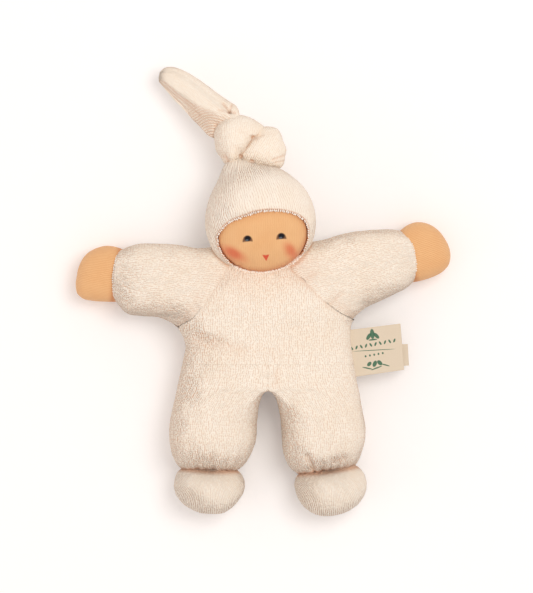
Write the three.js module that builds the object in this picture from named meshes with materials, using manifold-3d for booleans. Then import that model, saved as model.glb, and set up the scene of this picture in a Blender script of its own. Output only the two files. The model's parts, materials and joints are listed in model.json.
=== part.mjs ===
// A soft cloth doll in a terry suit and a knotted terry cap, lying on its back.
// Millimetres. +Z points out of the doll's front, +Y towards its head and +X to its left side.
// The origin is on the flat of its back, under the middle of the body.

import * as THREE from 'three';
import { mergeVertices } from 'three/addons/utils/BufferGeometryUtils.js';
import Module from 'manifold-3d';

const wasm = await Module();
wasm.setup();

// Cloth, thread and fit
const clearance = 0.3; // air between two pieces that touch
const pressedFlat = 0.5; // how deep a stuffed piece is pressed flat by what it lies on
const terryThickness = 2;
const jerseyThickness = 0.9;
const gauzeThickness = 0.5;
const threadThickness = 0.8;
const paintThickness = 0.4;
const cutReach = 400; // size of the blocks that cut, larger than the doll
const overrun = 6; // how far a form runs on past the face that cuts it

// Body
const torsoWidth = 90;
const torsoThickness = 42;
const torsoLength = 66; // hip line to the top of the shoulders
const hipDrop = 20; // hip line below the origin
const shoulderRounding = 13;
const shoulderShift = -3.6; // the shoulders lie a little to the doll's right
const torsoWidthShares = [[0, 1], [0.2, 0.965], [0.42, 0.93], [0.6, 0.81], [0.8, 0.64], [1, 0.5]];
const torsoThicknessShares = [[0, 0.96], [0.3, 1], [0.55, 0.95], [0.8, 0.76], [1, 0.62]];

// Raglan seams, as shares of the body: across from its middle line, and up from the hip line
const seamNeckShares = [0.18, 0.84];
const seamArmpitShares = [0.46, 0.44];
const sleeveStartShare = 0.385; // where the sleeve's middle line meets the seam, down from the neck

// Sleeves and hands
const sleeveLength = 48;
const sleeveWidth = 38;
const sleeveThickness = 33;
const cuffWidthShare = 0.72;
const cuffThicknessShare = 0.74;
const sleeveWidthShares = [[0, 1.06], [0.35, 1.01], [0.65, 0.97], [0.88, 0.92], [1, cuffWidthShare]];
const sleeveThicknessShares = [[0, 1], [0.4, 0.97], [0.8, 0.9], [1, cuffThicknessShare]];
const armAngles = { left: 19.3, right: 8.7 }; // how far each arm lies above straight out, in degrees
const handLength = 21;
const handWidth = 28.5;
const handThickness = 23;
const handRounding = 12;
const wristDepth = 7; // how far the hand's drawn-in end goes up the sleeve
const armRoomAngles = [0, 20, 40, 60]; // lifts of the arm, in degrees, at which it clears the head

// Legs and feet
const legLength = 45.5; // hip line to the ankle seam, along the doll
const legThickness = 40;
const legSplay = 7.3; // how far the ankle's middle lies outside the hip's middle
const ankleWidthShare = 0.64;
const ankleThicknessShare = 0.68;
const legWidthShares = [[0, 1], [0.3, 1.015], [0.62, 1.03], [0.85, 0.88], [1, ankleWidthShare]];
const legThicknessShares = [[0, 0.99], [0.35, 0.98], [0.7, 0.93], [1, ankleThicknessShare]];
const footLength = 23;
const footWidth = 35.5;
const footThickness = 31;
const footRounding = 14;
const ankleDepth = 8; // how far the foot's drawn-in end goes up the leg

// Hands and feet, as shares of their length outside the cuff and of their depth inside it
const mittFullShare = 0.4; // where they reach their full width
const mittThroatShare = 0.55; // where the tied throat starts to swell
const tieFromShare = 0.12;
const tieToShare = 0.42;

// Head
const headDiameter = 50.5;
const headTilt = 6; // degrees, crown towards the doll's right
const headLiftShare = 0.47; // head's middle above the shoulders, as a share of the cap's radius
const neckHoleRadius = 5; // in the gauze, the skin and the cap
const neckRadius = 8;
const neckWaistRadius = 6.6; // where the thread draws the neck in
const neckLength = 20; // below the cap's ball
const neckTieShare = 0.35; // how far down the neck the thread is wound
const neckTieTurns = 4;
const neckSlant = 15; // degrees, because the head lies higher than the body's middle
const faceOpeningWidth = 46.5;
const faceOpeningHeight = 31;
const faceDip = 22; // degrees that the face opening looks down from straight ahead
const eyeSpacing = 16.8;
const eyeWidth = 5.3;
const eyeHeight = 3.4;
const eyeDrop = 7.9; // below the head's middle
const mouthWidth = 3.6;
const mouthHeight = 3.3;
const mouthDrop = 17.8;

// Knot and tail of the cap
const knotWidth = 40;
const knotHeight = 25;
const knotThickness = 20;
const knotSink = 4; // the knot hangs this much lower than the head's middle
const bigLobePlaceShares = [-0.24, 0.64]; // of the knot's width and height, from the crown
const bigLobeSizeShares = [0.36, 0.46, 0.5];
const smallLobePlaceShares = [0.17, 0.4];
const smallLobeSizeShares = [0.26, 0.41, 0.47];
const stemPlaceShares = [-0.02, 0.06];
const stemSizeShares = [0.33, 0.3, 0.46];
const tailLength = 40;
const tailWidth = 17;
const tailThickness = 7;
const tailAngle = 147; // degrees from the head's left side
const tailDroop = 20; // degrees
const tailRootShares = [-0.1, 0.88]; // of the big lobe's half sizes, from its middle
const tailWidthShares = [[0, 0.74], [0.35, 0.8], [0.7, 0.93], [1, 1]];
const tailThicknessShares = [[0, 1], [0.5, 0.95], [1, 0.8]];

// Labels in the doll's left side seam
const labelThickness = 0.6;
const labelWidth = 25.5;
const labelLength = 23.5;
const labelPlaceShare = 0.05; // lower end of the label above the hip line, as a share of the body
const labelTurn = 7; // degrees, along the slant of the side seam
const labelDroop = 22; // degrees down from the side seam
const careLabelWidth = 28;
const careLabelLength = 12;
const careLabelStart = 1.2; // out from the seam, so that it clears the side when the labels fold down
const careLabelShiftShare = 0.125; // down from the large label's middle, as a share of its length

// Facets round each form
const torsoFacets = 24;
const limbFacets = 16;
const ballFacets = 20;
const ballBands = 12;
const liningFacets = 12;
const cutFacets = 28;
const paintFacets = 48;
const outlineSegments = 8;
const formRings = 5;
const endRings = 3;
const endTurnShare = 0.94; // of a quarter turn, where the last ring of a round end stands
const ovalFullness = 0.9; // below 1 an oval section fills its corners
const tailFullness = 0.6;

const capRadius = headDiameter / 2 + clearance + terryThickness;
const hipY = -hipDrop;
const headCentre = new THREE.Vector3(
  shoulderShift,
  hipY + torsoLength + capRadius * headLiftShare,
  capRadius - pressedFlat,
);

const up = new THREE.Vector3(0, 0, 1);
const cloth = {
  terry: new THREE.MeshStandardMaterial({ color: 0xf3e3d0, roughness: 0.97, metalness: 0 }),
  jersey: new THREE.MeshStandardMaterial({ color: 0xefb782, roughness: 0.9, metalness: 0 }),
  wool: new THREE.MeshStandardMaterial({ color: 0xeee6d6, roughness: 1, metalness: 0 }),
  gauze: new THREE.MeshStandardMaterial({ color: 0xf5efe4, roughness: 0.95, metalness: 0 }),
  thread: new THREE.MeshStandardMaterial({ color: 0xe4d8c4, roughness: 0.85, metalness: 0 }),
  darkPaint: new THREE.MeshStandardMaterial({ color: 0x2a1f1c, roughness: 0.5, metalness: 0 }),
  redPaint: new THREE.MeshStandardMaterial({ color: 0xc8452f, roughness: 0.6, metalness: 0 }),
  ribbon: new THREE.MeshStandardMaterial({ color: 0xe9dcc6, roughness: 0.6, metalness: 0 }),
};

const doll = new THREE.Group();
const head = new THREE.Group();
head.position.copy(headCentre);
head.rotation.z = THREE.MathUtils.degToRad(headTilt);
doll.add(head);

/** A closed three.js geometry as a solid that can be joined and cut. */
function solidOf(geometry) {
  const bare = geometry.clone();
  bare.deleteAttribute('normal');
  bare.deleteAttribute('uv');
  const merged = mergeVertices(bare);
  const mesh = new wasm.Mesh({
    numProp: 3,
    vertProperties: new Float32Array(merged.attributes.position.array),
    triVerts: new Uint32Array(merged.index.array),
  });
  mesh.merge();
  return new wasm.Manifold(mesh);
}

/** Puts a solid into a group as a named mesh. */
function addPiece(group, name, solid, material) {
  const { vertProperties, triVerts } = solid.getMesh();
  const geometry = new THREE.BufferGeometry();
  geometry.setAttribute('position', new THREE.BufferAttribute(new Float32Array(vertProperties), 3));
  geometry.setIndex(new THREE.BufferAttribute(new Uint32Array(triVerts), 1));
  geometry.computeVertexNormals();
  const mesh = new THREE.Mesh(geometry, material);
  mesh.name = name;
  group.add(mesh);
  return mesh;
}

/** Everything on the far side of a plane, as a block that cuts. */
function beyondPlane(point, normal) {
  const block = new THREE.BoxGeometry(cutReach, cutReach, cutReach);
  const turn = new THREE.Quaternion().setFromUnitVectors(up, normal);
  block.translate(0, 0, cutReach / 2);
  block.applyQuaternion(turn);
  block.translate(point.x, point.y, point.z);
  return solidOf(block);
}

/** A faceted ball. */
function ball(centre, radius, facets = ballFacets, bands = ballBands) {
  const geometry = new THREE.SphereGeometry(radius, facets, bands);
  geometry.translate(centre.x, centre.y, centre.z);
  return solidOf(geometry);
}

/** An egg with its own half sizes. */
function egg(centre, halfSizes, facets, bands) {
  const geometry = new THREE.SphereGeometry(1, facets, bands);
  geometry.scale(halfSizes.x, halfSizes.y, halfSizes.z);
  geometry.translate(centre.x, centre.y, centre.z);
  return solidOf(geometry);
}

/** The value of a table of [place share, size share] rows at a place, on one smooth curve. */
function shareAt(shares, place) {
  const last = shares.length - 1;
  const inside = THREE.MathUtils.clamp(place, 0, 1);
  let row = 0;
  while (row < last - 1 && inside > shares[row + 1][0]) {
    row += 1;
  }
  const slopeAt = (i) => {
    const before = shares[Math.max(i - 1, 0)];
    const after = shares[Math.min(i + 1, last)];
    return (after[1] - before[1]) / (after[0] - before[0]);
  };
  const span = shares[row + 1][0] - shares[row][0];
  const t = (inside - shares[row][0]) / span;
  const fromStart = (1 + 2 * t) * (1 - t) ** 2 * shares[row][1] + t * (1 - t) ** 2 * span * slopeAt(row);
  const fromEnd = t ** 2 * (3 - 2 * t) * shares[row + 1][1] + t ** 2 * (t - 1) * span * slopeAt(row + 1);
  return fromStart + fromEnd;
}

/**
 * One ring of points round a stuffed form, at a distance along its middle line.
 * The section is a full oval, set in all round by inset, and its lowest point lies on the floor.
 */
function formRing(form, distance, inset, facets) {
  const place = distance / form.length;
  let halfWidth = (form.width / 2) * shareAt(form.widthShares, place) - inset;
  let halfThickness = (form.thickness / 2) * shareAt(form.thicknessShares, place) - inset;
  const middleHeight = form.middleShares
    ? form.thickness * shareAt(form.middleShares, place)
    : halfThickness + inset - pressedFlat;
  const roundStart = form.length - (form.rounding ?? 0);
  if (form.rounding && distance > roundStart) {
    const reach = (distance - roundStart) / (form.rounding - inset);
    const drawn = Math.sqrt(Math.max(0, 1 - reach ** 2));
    halfWidth *= drawn;
    halfThickness *= drawn;
  }
  const shift = (form.shift ?? 0) * THREE.MathUtils.clamp(place, 0, 1) ** 2;
  const fullness = form.fullness ?? ovalFullness;
  const points = [];
  for (let i = 0; i < facets; i += 1) {
    const angle = (2 * Math.PI * i) / facets;
    const side = Math.sign(Math.cos(angle)) * Math.abs(Math.cos(angle)) ** fullness;
    const rise = Math.sign(Math.sin(angle)) * Math.abs(Math.sin(angle)) ** fullness;
    const point = form.start.clone();
    point.addScaledVector(form.along, distance);
    point.addScaledVector(form.across, halfWidth * side + shift);
    point.addScaledVector(form.rise, halfThickness * rise + middleHeight);
    points.push(point);
  }
  return points;
}

/** A closed solid through a list of rings, with each end closed by a fan. */
function solidThroughRings(rings) {
  const facets = rings[0].length;
  const corners = [];
  const faces = [];
  rings.forEach((ring) => ring.forEach((point) => corners.push(point.x, point.y, point.z)));
  for (let r = 0; r < rings.length - 1; r += 1) {
    for (let i = 0; i < facets; i += 1) {
      const next = (i + 1) % facets;
      const a = r * facets + i;
      const b = r * facets + next;
      faces.push(a, a + facets, b, b, a + facets, b + facets);
    }
  }
  [rings[0], rings[rings.length - 1]].forEach((ring, end) => {
    const middle = new THREE.Vector3();
    ring.forEach((point) => middle.addScaledVector(point, 1 / facets));
    const centre = corners.length / 3;
    corners.push(middle.x, middle.y, middle.z);
    const first = end === 0 ? 0 : (rings.length - 1) * facets;
    for (let i = 0; i < facets; i += 1) {
      const here = first + i;
      const there = first + ((i + 1) % facets);
      faces.push(...(end === 0 ? [here, there, centre] : [there, here, centre]));
    }
  });
  const geometry = new THREE.BufferGeometry();
  geometry.setAttribute('position', new THREE.Float32BufferAttribute(corners, 3));
  geometry.setIndex(faces);
  const solid = solidOf(geometry);
  if (solid.volume() < 0) {
    geometry.setIndex([...faces].reverse());
    return solidOf(geometry);
  }
  return solid;
}

/** The distances along a form at which its rings stand, so that nested forms have matching rings. */
function ringPlaces(form) {
  const plainLength = form.length - (form.rounding ?? 0);
  return Array.from({ length: formRings + 1 }, (_, k) => (plainLength * k) / formRings);
}

/** A stuffed form as a solid between two distances, set in all round by inset. */
function formSolid(form, inset, from, to, facets) {
  const roundStart = form.length - (form.rounding ?? 0);
  const plainEnd = form.rounding ? roundStart : to;
  const between = ringPlaces(form).filter((place) => place > from && place < plainEnd);
  const rings = [from, ...between, plainEnd].map((place) => formRing(form, place, inset, facets));
  if (form.rounding) {
    const reach = form.rounding - inset;
    const lastTurn = (endTurnShare * Math.PI) / 2; // the last ring is small, and a fan closes it
    for (let k = 1; k <= endRings; k += 1) {
      rings.push(formRing(form, roundStart + reach * Math.sin((k / endRings) * lastTurn), inset, facets));
    }
  }
  return solidThroughRings(rings);
}

/** The last ring of a form at or before a distance, where a filling can end inside its cover. */
function ringBefore(form, distance) {
  return Math.max(...ringPlaces(form).filter((place) => place <= distance));
}

/** A thread wound round a form: a flat band just outside it. */
function bandRound(form, from, to, thickness, facets) {
  const outside = formSolid(form, -clearance - thickness, from, to, facets);
  const inside = formSolid(form, -clearance, from - overrun, to + overrun, facets);
  return outside.subtract(inside);
}

/** Cuts a solid by each cutter in turn. */
function cutBy(solid, cutters) {
  return cutters.reduce((left, cutter) => left.subtract(cutter), solid);
}

const floorCutter = beyondPlane(new THREE.Vector3(), up.clone().negate());
const headCutter = ball(headCentre, capRadius + clearance * 2, cutFacets, cutFacets / 2);

// Neck: it slants down from the head's middle into the body
const neckAxis = up.clone().applyAxisAngle(new THREE.Vector3(1, 0, 0), -Math.PI / 2);
neckAxis.applyAxisAngle(new THREE.Vector3(1, 0, 0), THREE.MathUtils.degToRad(neckSlant));

/** A solid of revolution round the neck's line, from [radius, distance below the head] points. */
function turnedOnNeck(profile) {
  const points = profile.map(([radius, below]) => new THREE.Vector2(radius, -below));
  const geometry = new THREE.LatheGeometry(points, limbFacets);
  geometry.applyQuaternion(new THREE.Quaternion().setFromUnitVectors(new THREE.Vector3(0, 1, 0), neckAxis));
  geometry.translate(headCentre.x, headCentre.y, headCentre.z);
  const solid = solidOf(geometry);
  if (solid.volume() > 0) {
    return solid;
  }
  const turned = geometry.index.array.slice().reverse();
  geometry.setIndex(new THREE.BufferAttribute(turned, 1));
  return solidOf(geometry);
}

const neckTop = headDiameter / 2;
const neckEnd = capRadius + neckLength;
const tieTop = capRadius + neckLength * neckTieShare;
const tieBottom = tieTop + threadThickness * neckTieTurns;
const waistLean = neckRadius - neckWaistRadius;
const neckBore = turnedOnNeck([
  [0, neckTop],
  [neckRadius + clearance, neckTop],
  [neckRadius + clearance, neckEnd + clearance],
  [0, neckEnd + clearance],
]);
const neckCore = turnedOnNeck([
  [0, neckTop],
  [neckRadius, neckTop],
  [neckRadius, tieTop - waistLean],
  [neckWaistRadius, tieTop],
  [neckWaistRadius, tieBottom],
  [neckRadius, tieBottom + waistLean],
  [neckRadius, neckEnd],
  [0, neckEnd],
]);
const neckTie = turnedOnNeck([
  [neckWaistRadius + clearance, tieTop + clearance],
  [neckWaistRadius + clearance + threadThickness, tieTop + clearance],
  [neckWaistRadius + clearance + threadThickness, tieBottom - clearance],
  [neckWaistRadius + clearance, tieBottom - clearance],
  [neckWaistRadius + clearance, tieTop + clearance],
]);
const neckCutter = ball(headCentre, capRadius + clearance, cutFacets, cutFacets / 2);
addPiece(doll, 'neck_core', neckCore.subtract(neckCutter), cloth.wool);
addPiece(doll, 'neck_tie', neckTie, cloth.thread);

// Raglan seams: a standing plane on each side, from the neck to the armpit
const sides = { left: 1, right: -1 };

/** A point of the body from shares: across from its middle line, and up from the hip line. */
function bodyPoint(side, [acrossShare, upShare]) {
  const middle = shoulderShift * upShare ** 2;
  return new THREE.Vector3(middle + side * acrossShare * torsoWidth, hipY + upShare * torsoLength, 0);
}

/** The seam plane of one side: its ends and its normal, which points to the arm. */
function raglanSeam(side) {
  const neck = bodyPoint(side, seamNeckShares);
  const armpit = bodyPoint(side, seamArmpitShares);
  const line = armpit.clone().sub(neck).normalize();
  const normal = line.clone().cross(up).multiplyScalar(-side);
  return { neck, armpit, normal };
}

const torsoForm = {
  start: new THREE.Vector3(0, hipY, 0),
  along: new THREE.Vector3(0, 1, 0),
  across: new THREE.Vector3(1, 0, 0),
  rise: up,
  length: torsoLength,
  width: torsoWidth,
  thickness: torsoThickness,
  widthShares: torsoWidthShares,
  thicknessShares: torsoThicknessShares,
  rounding: shoulderRounding,
  shift: shoulderShift,
};

const torsoCutters = [headCutter, neckBore];
Object.values(sides).forEach((side) => {
  const seam = raglanSeam(side);
  const face = seam.neck.clone().addScaledVector(seam.normal, -clearance / 2);
  torsoCutters.push(beyondPlane(face, seam.normal));
});
const sideSeamZ = torsoThickness / 2 - pressedFlat;
const hipFace = new THREE.Vector3(0, hipY + clearance / 2, 0);
torsoCutters.push(beyondPlane(hipFace, new THREE.Vector3(0, -1, 0)));
const torsoFillInset = terryThickness + clearance;
const torsoOutside = formSolid(torsoForm, 0, -overrun, torsoLength, torsoFacets);
const torsoInside = formSolid(torsoForm, terryThickness, -overrun * 2, torsoLength, torsoFacets);
const torsoShell = cutBy(torsoOutside.subtract(torsoInside), [floorCutter, ...torsoCutters]);
const aboveSideSeam = beyondPlane(new THREE.Vector3(0, 0, sideSeamZ - clearance / 2), up);
const belowSideSeam = beyondPlane(new THREE.Vector3(0, 0, sideSeamZ + clearance / 2), up.clone().negate());
addPiece(doll, 'torso_front', torsoShell.subtract(belowSideSeam), cloth.terry);
addPiece(doll, 'torso_back', torsoShell.subtract(aboveSideSeam), cloth.terry);
const torsoFill = formSolid(torsoForm, torsoFillInset, -overrun, torsoLength, torsoFacets / 2);
addPiece(doll, 'torso_filling', cutBy(torsoFill, torsoCutters), cloth.wool);

/**
 * A hand or a foot: its drawn-in end goes up the sleeve or leg, where a thread ties it,
 * and its far end is round. The cuff gives the half sizes of the terry that it comes out of.
 */
function makeMitt(names, cover, form, depth, cuffHalfWidth, cuffHalfThickness) {
  const wall = terryThickness + clearance;
  const band = threadThickness + clearance;
  const cuffPlace = depth / (form.length + depth);
  const fullPlace = cuffPlace + (1 - cuffPlace) * mittFullShare;
  const swellShares = (cuffHalf, full) => [
    [0, (cuffHalf - wall - band) / (full / 2)],
    [cuffPlace * mittThroatShare, (cuffHalf - wall - band) / (full / 2)],
    [cuffPlace, (cuffHalf - wall) / (full / 2)],
    [fullPlace, 1],
    [1, 1],
  ];
  const cuffMiddleShare = (cuffHalfThickness - pressedFlat) / form.thickness;
  const fullMiddleShare = (form.thickness / 2 - pressedFlat) / form.thickness;
  const mitt = {
    ...form,
    start: form.start.clone().addScaledVector(form.along, -depth),
    length: form.length + depth,
    widthShares: swellShares(cuffHalfWidth, form.width),
    thicknessShares: swellShares(cuffHalfThickness, form.thickness),
    middleShares: [[0, cuffMiddleShare], [cuffPlace, cuffMiddleShare], [fullPlace, fullMiddleShare],
      [1, fullMiddleShare]],
  };
  const outer = formSolid(mitt, 0, 0, mitt.length, limbFacets);
  const inner = formSolid(mitt, cover.thickness, -overrun, mitt.length, limbFacets);
  addPiece(doll, names.cover, cutBy(outer, [inner, floorCutter]), cover.material);
  const fill = formSolid(mitt, cover.thickness + clearance, clearance, mitt.length, limbFacets / 2);
  addPiece(doll, names.filling, fill, cloth.wool);
  const throat = {
    ...mitt,
    rounding: 0,
    widthShares: mitt.widthShares.slice(0, 2),
    thicknessShares: mitt.thicknessShares.slice(0, 2),
    middleShares: mitt.middleShares.slice(0, 2),
  };
  const tie = bandRound(throat, depth * tieFromShare, depth * tieToShare, threadThickness, limbFacets);
  addPiece(doll, names.tie, tie, cloth.thread);
}

// Arms
const armHingeHeight = sleeveThickness; // an arm lifts on its seam, at the height of its own top

/** The head's room as a lifted arm meets it: the ball turned back about the seam, in steps. */
function headRoomForArm(seam, side) {
  const hinge = seam.neck.clone().addScaledVector(up, armHingeHeight);
  const axis = seam.armpit.clone().sub(seam.neck).normalize().multiplyScalar(side);
  return armRoomAngles.map((angle) => {
    const centre = headCentre.clone().sub(hinge);
    centre.applyAxisAngle(axis, -THREE.MathUtils.degToRad(angle)).add(hinge);
    return ball(centre, capRadius + clearance * 2, cutFacets, cutFacets / 2);
  });
}

Object.entries(sides).forEach(([sideName, side]) => {
  const seam = raglanSeam(side);
  const angle = THREE.MathUtils.degToRad(armAngles[sideName]);
  const along = new THREE.Vector3(side * Math.cos(angle), Math.sin(angle), 0);
  const across = new THREE.Vector3(-side * Math.sin(angle), Math.cos(angle), 0);
  const start = seam.neck.clone().lerp(seam.armpit, sleeveStartShare);
  const sleeveForm = {
    start,
    along,
    across,
    rise: up,
    length: sleeveLength,
    width: sleeveWidth,
    thickness: sleeveThickness,
    widthShares: sleeveWidthShares,
    thicknessShares: sleeveThicknessShares,
  };
  const seamFace = seam.neck.clone().addScaledVector(seam.normal, clearance / 2);
  const cutters = [...headRoomForArm(seam, side), beyondPlane(seamFace, seam.normal.clone().negate())];
  const inward = -sleeveWidth; // far enough to reach past the slanted seam
  const outside = formSolid(sleeveForm, 0, inward, sleeveLength, limbFacets);
  const inside = formSolid(sleeveForm, terryThickness, inward - overrun, sleeveLength + overrun, limbFacets);
  const sleeve = cutBy(outside.subtract(inside), [floorCutter, ...cutters]);
  addPiece(doll, `sleeve_${sideName}`, sleeve, cloth.terry);
  const fillTo = ringBefore(sleeveForm, sleeveLength - wristDepth - clearance);
  const fill = formSolid(sleeveForm, terryThickness + clearance, inward, fillTo, limbFacets / 2);
  addPiece(doll, `arm_filling_${sideName}`, cutBy(fill, cutters), cloth.wool);
  makeMitt(
    { cover: `hand_${sideName}`, filling: `hand_filling_${sideName}`, tie: `wrist_tie_${sideName}` },
    { material: cloth.jersey, thickness: jerseyThickness },
    {
      start: start.clone().addScaledVector(along, sleeveLength),
      along,
      across,
      rise: up,
      length: handLength,
      width: handWidth,
      thickness: handThickness,
      rounding: handRounding,
    },
    wristDepth,
    (sleeveWidth / 2) * cuffWidthShare,
    (sleeveThickness / 2) * cuffThicknessShare,
  );
});

// Legs
Object.entries(sides).forEach(([sideName, side]) => {
  const hipWidth = torsoWidth / 2;
  const along = new THREE.Vector3((side * legSplay) / legLength, -1, 0).normalize();
  const across = along.clone().cross(up).normalize();
  const start = new THREE.Vector3((side * hipWidth) / 2, hipY, 0);
  const legForm = {
    start,
    along,
    across,
    rise: up,
    length: Math.hypot(legLength, legSplay),
    width: hipWidth,
    thickness: legThickness,
    widthShares: legWidthShares,
    thicknessShares: legThicknessShares,
  };
  const middleFace = new THREE.Vector3((side * clearance) / 2, 0, 0);
  const cutters = [
    beyondPlane(new THREE.Vector3(0, hipY - clearance / 2, 0), new THREE.Vector3(0, 1, 0)),
    beyondPlane(middleFace, new THREE.Vector3(-side, 0, 0)),
  ];
  const inward = -overrun * 2;
  const outside = formSolid(legForm, 0, inward, legForm.length, limbFacets);
  const inside = formSolid(legForm, terryThickness, inward * 2, legForm.length + overrun, limbFacets);
  addPiece(doll, `leg_${sideName}`, cutBy(outside.subtract(inside), [floorCutter, ...cutters]), cloth.terry);
  const fillTo = ringBefore(legForm, legForm.length - ankleDepth - clearance);
  const fill = formSolid(legForm, terryThickness + clearance, inward, fillTo, limbFacets / 2);
  addPiece(doll, `leg_filling_${sideName}`, cutBy(fill, cutters), cloth.wool);
  makeMitt(
    { cover: `foot_${sideName}`, filling: `foot_filling_${sideName}`, tie: `ankle_tie_${sideName}` },
    { material: cloth.terry, thickness: terryThickness },
    {
      start: start.clone().addScaledVector(along, legForm.length),
      along,
      across,
      rise: up,
      length: footLength,
      width: footWidth,
      thickness: footThickness,
      rounding: footRounding,
    },
    ankleDepth,
    (hipWidth / 2) * ankleWidthShare,
    (legThickness / 2) * ankleThicknessShare,
  );
});

// Head, in its own frame with the origin at its middle
const origin = new THREE.Vector3();
const neckHole = new THREE.CylinderGeometry(neckHoleRadius, neckHoleRadius, capRadius * 2, limbFacets);
neckHole.translate(0, -capRadius, 0);
const neckHoleCutter = solidOf(neckHole);
const skinRadius = headDiameter / 2;
const liningRadius = skinRadius - jerseyThickness - clearance;
const coreRadius = liningRadius - gauzeThickness - clearance;
const headFloor = beyondPlane(new THREE.Vector3(0, 0, -headCentre.z), up.clone().negate());

/** A ball shell with a neck hole at its foot. */
function ballShell(radius, thickness, facets, bands) {
  const shell = ball(origin, radius, facets, bands).subtract(ball(origin, radius - thickness, facets, bands));
  return shell.subtract(neckHoleCutter);
}

const core = ball(origin, coreRadius, liningFacets, liningFacets / 2);
const lining = ballShell(liningRadius, gauzeThickness, liningFacets, liningFacets / 2);
addPiece(head, 'head_core', core, cloth.wool);
addPiece(head, 'head_lining', lining, cloth.gauze);
addPiece(head, 'head_skin', ballShell(skinRadius, jerseyThickness, ballFacets, ballBands), cloth.jersey);

// Cap: a terry ball shell, open in front of the face
const faceHole = new THREE.CylinderGeometry(1, 1, capRadius * 2, ballFacets);
faceHole.rotateX(Math.PI / 2);
faceHole.translate(0, 0, capRadius);
faceHole.scale(faceOpeningWidth / 2, faceOpeningHeight / 2, 1);
faceHole.rotateX(THREE.MathUtils.degToRad(faceDip));
const cap = ballShell(capRadius, terryThickness, ballFacets, ballBands);
addPiece(head, 'cap', cap.subtract(solidOf(faceHole)).subtract(headFloor), cloth.terry);

// Painted face: thin patches on the skin, each cut to its outline
const patchInside = skinRadius + clearance;
const patchShell = ball(origin, patchInside + paintThickness, paintFacets, paintFacets / 2)
  .subtract(ball(origin, patchInside, paintFacets, paintFacets / 2));

/** A painted patch: an outline drawn on the face, carried straight forward through the paint. */
function paintedPatch(shape, x, y) {
  const carried = { depth: capRadius, bevelEnabled: false, curveSegments: outlineSegments };
  const block = new THREE.ExtrudeGeometry(shape, carried);
  block.translate(x, y, 0);
  return solidOf(block).intersect(patchShell);
}

const eyeShape = new THREE.Shape();
eyeShape.moveTo(-eyeWidth / 2, -eyeHeight / 4);
eyeShape.quadraticCurveTo(-eyeWidth / 2, eyeHeight / 2, 0, eyeHeight / 2);
eyeShape.quadraticCurveTo(eyeWidth / 2, eyeHeight / 2, eyeWidth / 2, -eyeHeight / 4);
eyeShape.quadraticCurveTo(0, -(eyeHeight * 3) / 4, -eyeWidth / 2, -eyeHeight / 4);
Object.entries(sides).forEach(([sideName, side]) => {
  const eye = paintedPatch(eyeShape, (side * eyeSpacing) / 2, -eyeDrop);
  addPiece(head, `eye_${sideName}`, eye, cloth.darkPaint);
});

const mouthShape = new THREE.Shape();
mouthShape.moveTo(-mouthWidth / 2, mouthHeight / 2);
mouthShape.lineTo(0, mouthHeight / 3);
mouthShape.lineTo(mouthWidth / 2, mouthHeight / 2);
mouthShape.quadraticCurveTo(mouthWidth / 3, -mouthHeight / 2, 0, -mouthHeight / 2);
mouthShape.quadraticCurveTo(-mouthWidth / 3, -mouthHeight / 2, -mouthWidth / 2, mouthHeight / 2);
addPiece(head, 'mouth', paintedPatch(mouthShape, 0, -mouthDrop), cloth.redPaint);

// Knot: two lobes and the gathered stem that joins them to the cap's crown
const crown = new THREE.Vector3(0, capRadius, -knotSink);
const knotSize = new THREE.Vector3(knotWidth, knotHeight, knotThickness);

/** One lobe of the knot from its place and size shares. */
function knotLobe(placeShares, sizeShares) {
  const centre = crown.clone();
  centre.x += placeShares[0] * knotWidth;
  centre.y += placeShares[1] * knotHeight;
  const half = new THREE.Vector3(...sizeShares).multiply(knotSize);
  return { centre, half, solid: egg(centre, half, limbFacets, limbFacets / 2) };
}

const bigLobe = knotLobe(bigLobePlaceShares, bigLobeSizeShares);
const smallLobe = knotLobe(smallLobePlaceShares, smallLobeSizeShares);
const stem = knotLobe(stemPlaceShares, stemSizeShares);
const tailRoot = bigLobe.centre.clone();
tailRoot.x += tailRootShares[0] * bigLobe.half.x;
tailRoot.y += tailRootShares[1] * bigLobe.half.y;
const tailTurn = THREE.MathUtils.degToRad(tailAngle);
const tailAcross = new THREE.Vector3(-Math.sin(tailTurn), Math.cos(tailTurn), 0);
const tailAlong = new THREE.Vector3(Math.cos(tailTurn), Math.sin(tailTurn), 0);
tailAlong.applyAxisAngle(tailAcross, THREE.MathUtils.degToRad(tailDroop));

/** A short round roller across the tail's root, which the tail swings on. */
function tailRoller(radius, length) {
  const geometry = new THREE.CylinderGeometry(radius, radius, length, limbFacets);
  geometry.applyQuaternion(new THREE.Quaternion().setFromUnitVectors(new THREE.Vector3(0, 1, 0), tailAcross));
  geometry.translate(tailRoot.x, tailRoot.y, tailRoot.z);
  return solidOf(geometry);
}

const tailForm = {
  start: tailRoot,
  along: tailAlong,
  across: tailAcross,
  rise: tailAlong.clone().cross(tailAcross),
  length: tailLength,
  width: tailWidth,
  thickness: tailThickness,
  widthShares: tailWidthShares,
  thicknessShares: tailThicknessShares,
  fullness: tailFullness,
  middleShares: [[0, 0], [1, 0]],
};
const rollerRadius = tailThickness / 2;
const rollerLength = tailWidth * tailWidthShares[0][1];
const tail = formSolid(tailForm, 0, 0, tailLength, limbFacets).add(tailRoller(rollerRadius, rollerLength));
const capBall = ball(origin, capRadius + clearance, cutFacets, cutFacets / 2);

// The big lobe is open ahead of and over the tail's root, so the tail can be folded up
const slotLength = knotWidth;
const slotWidth = tailWidth * tailWidthShares[2][1] + clearance * 2;
const rollerRoom = rollerRadius + clearance;

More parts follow.
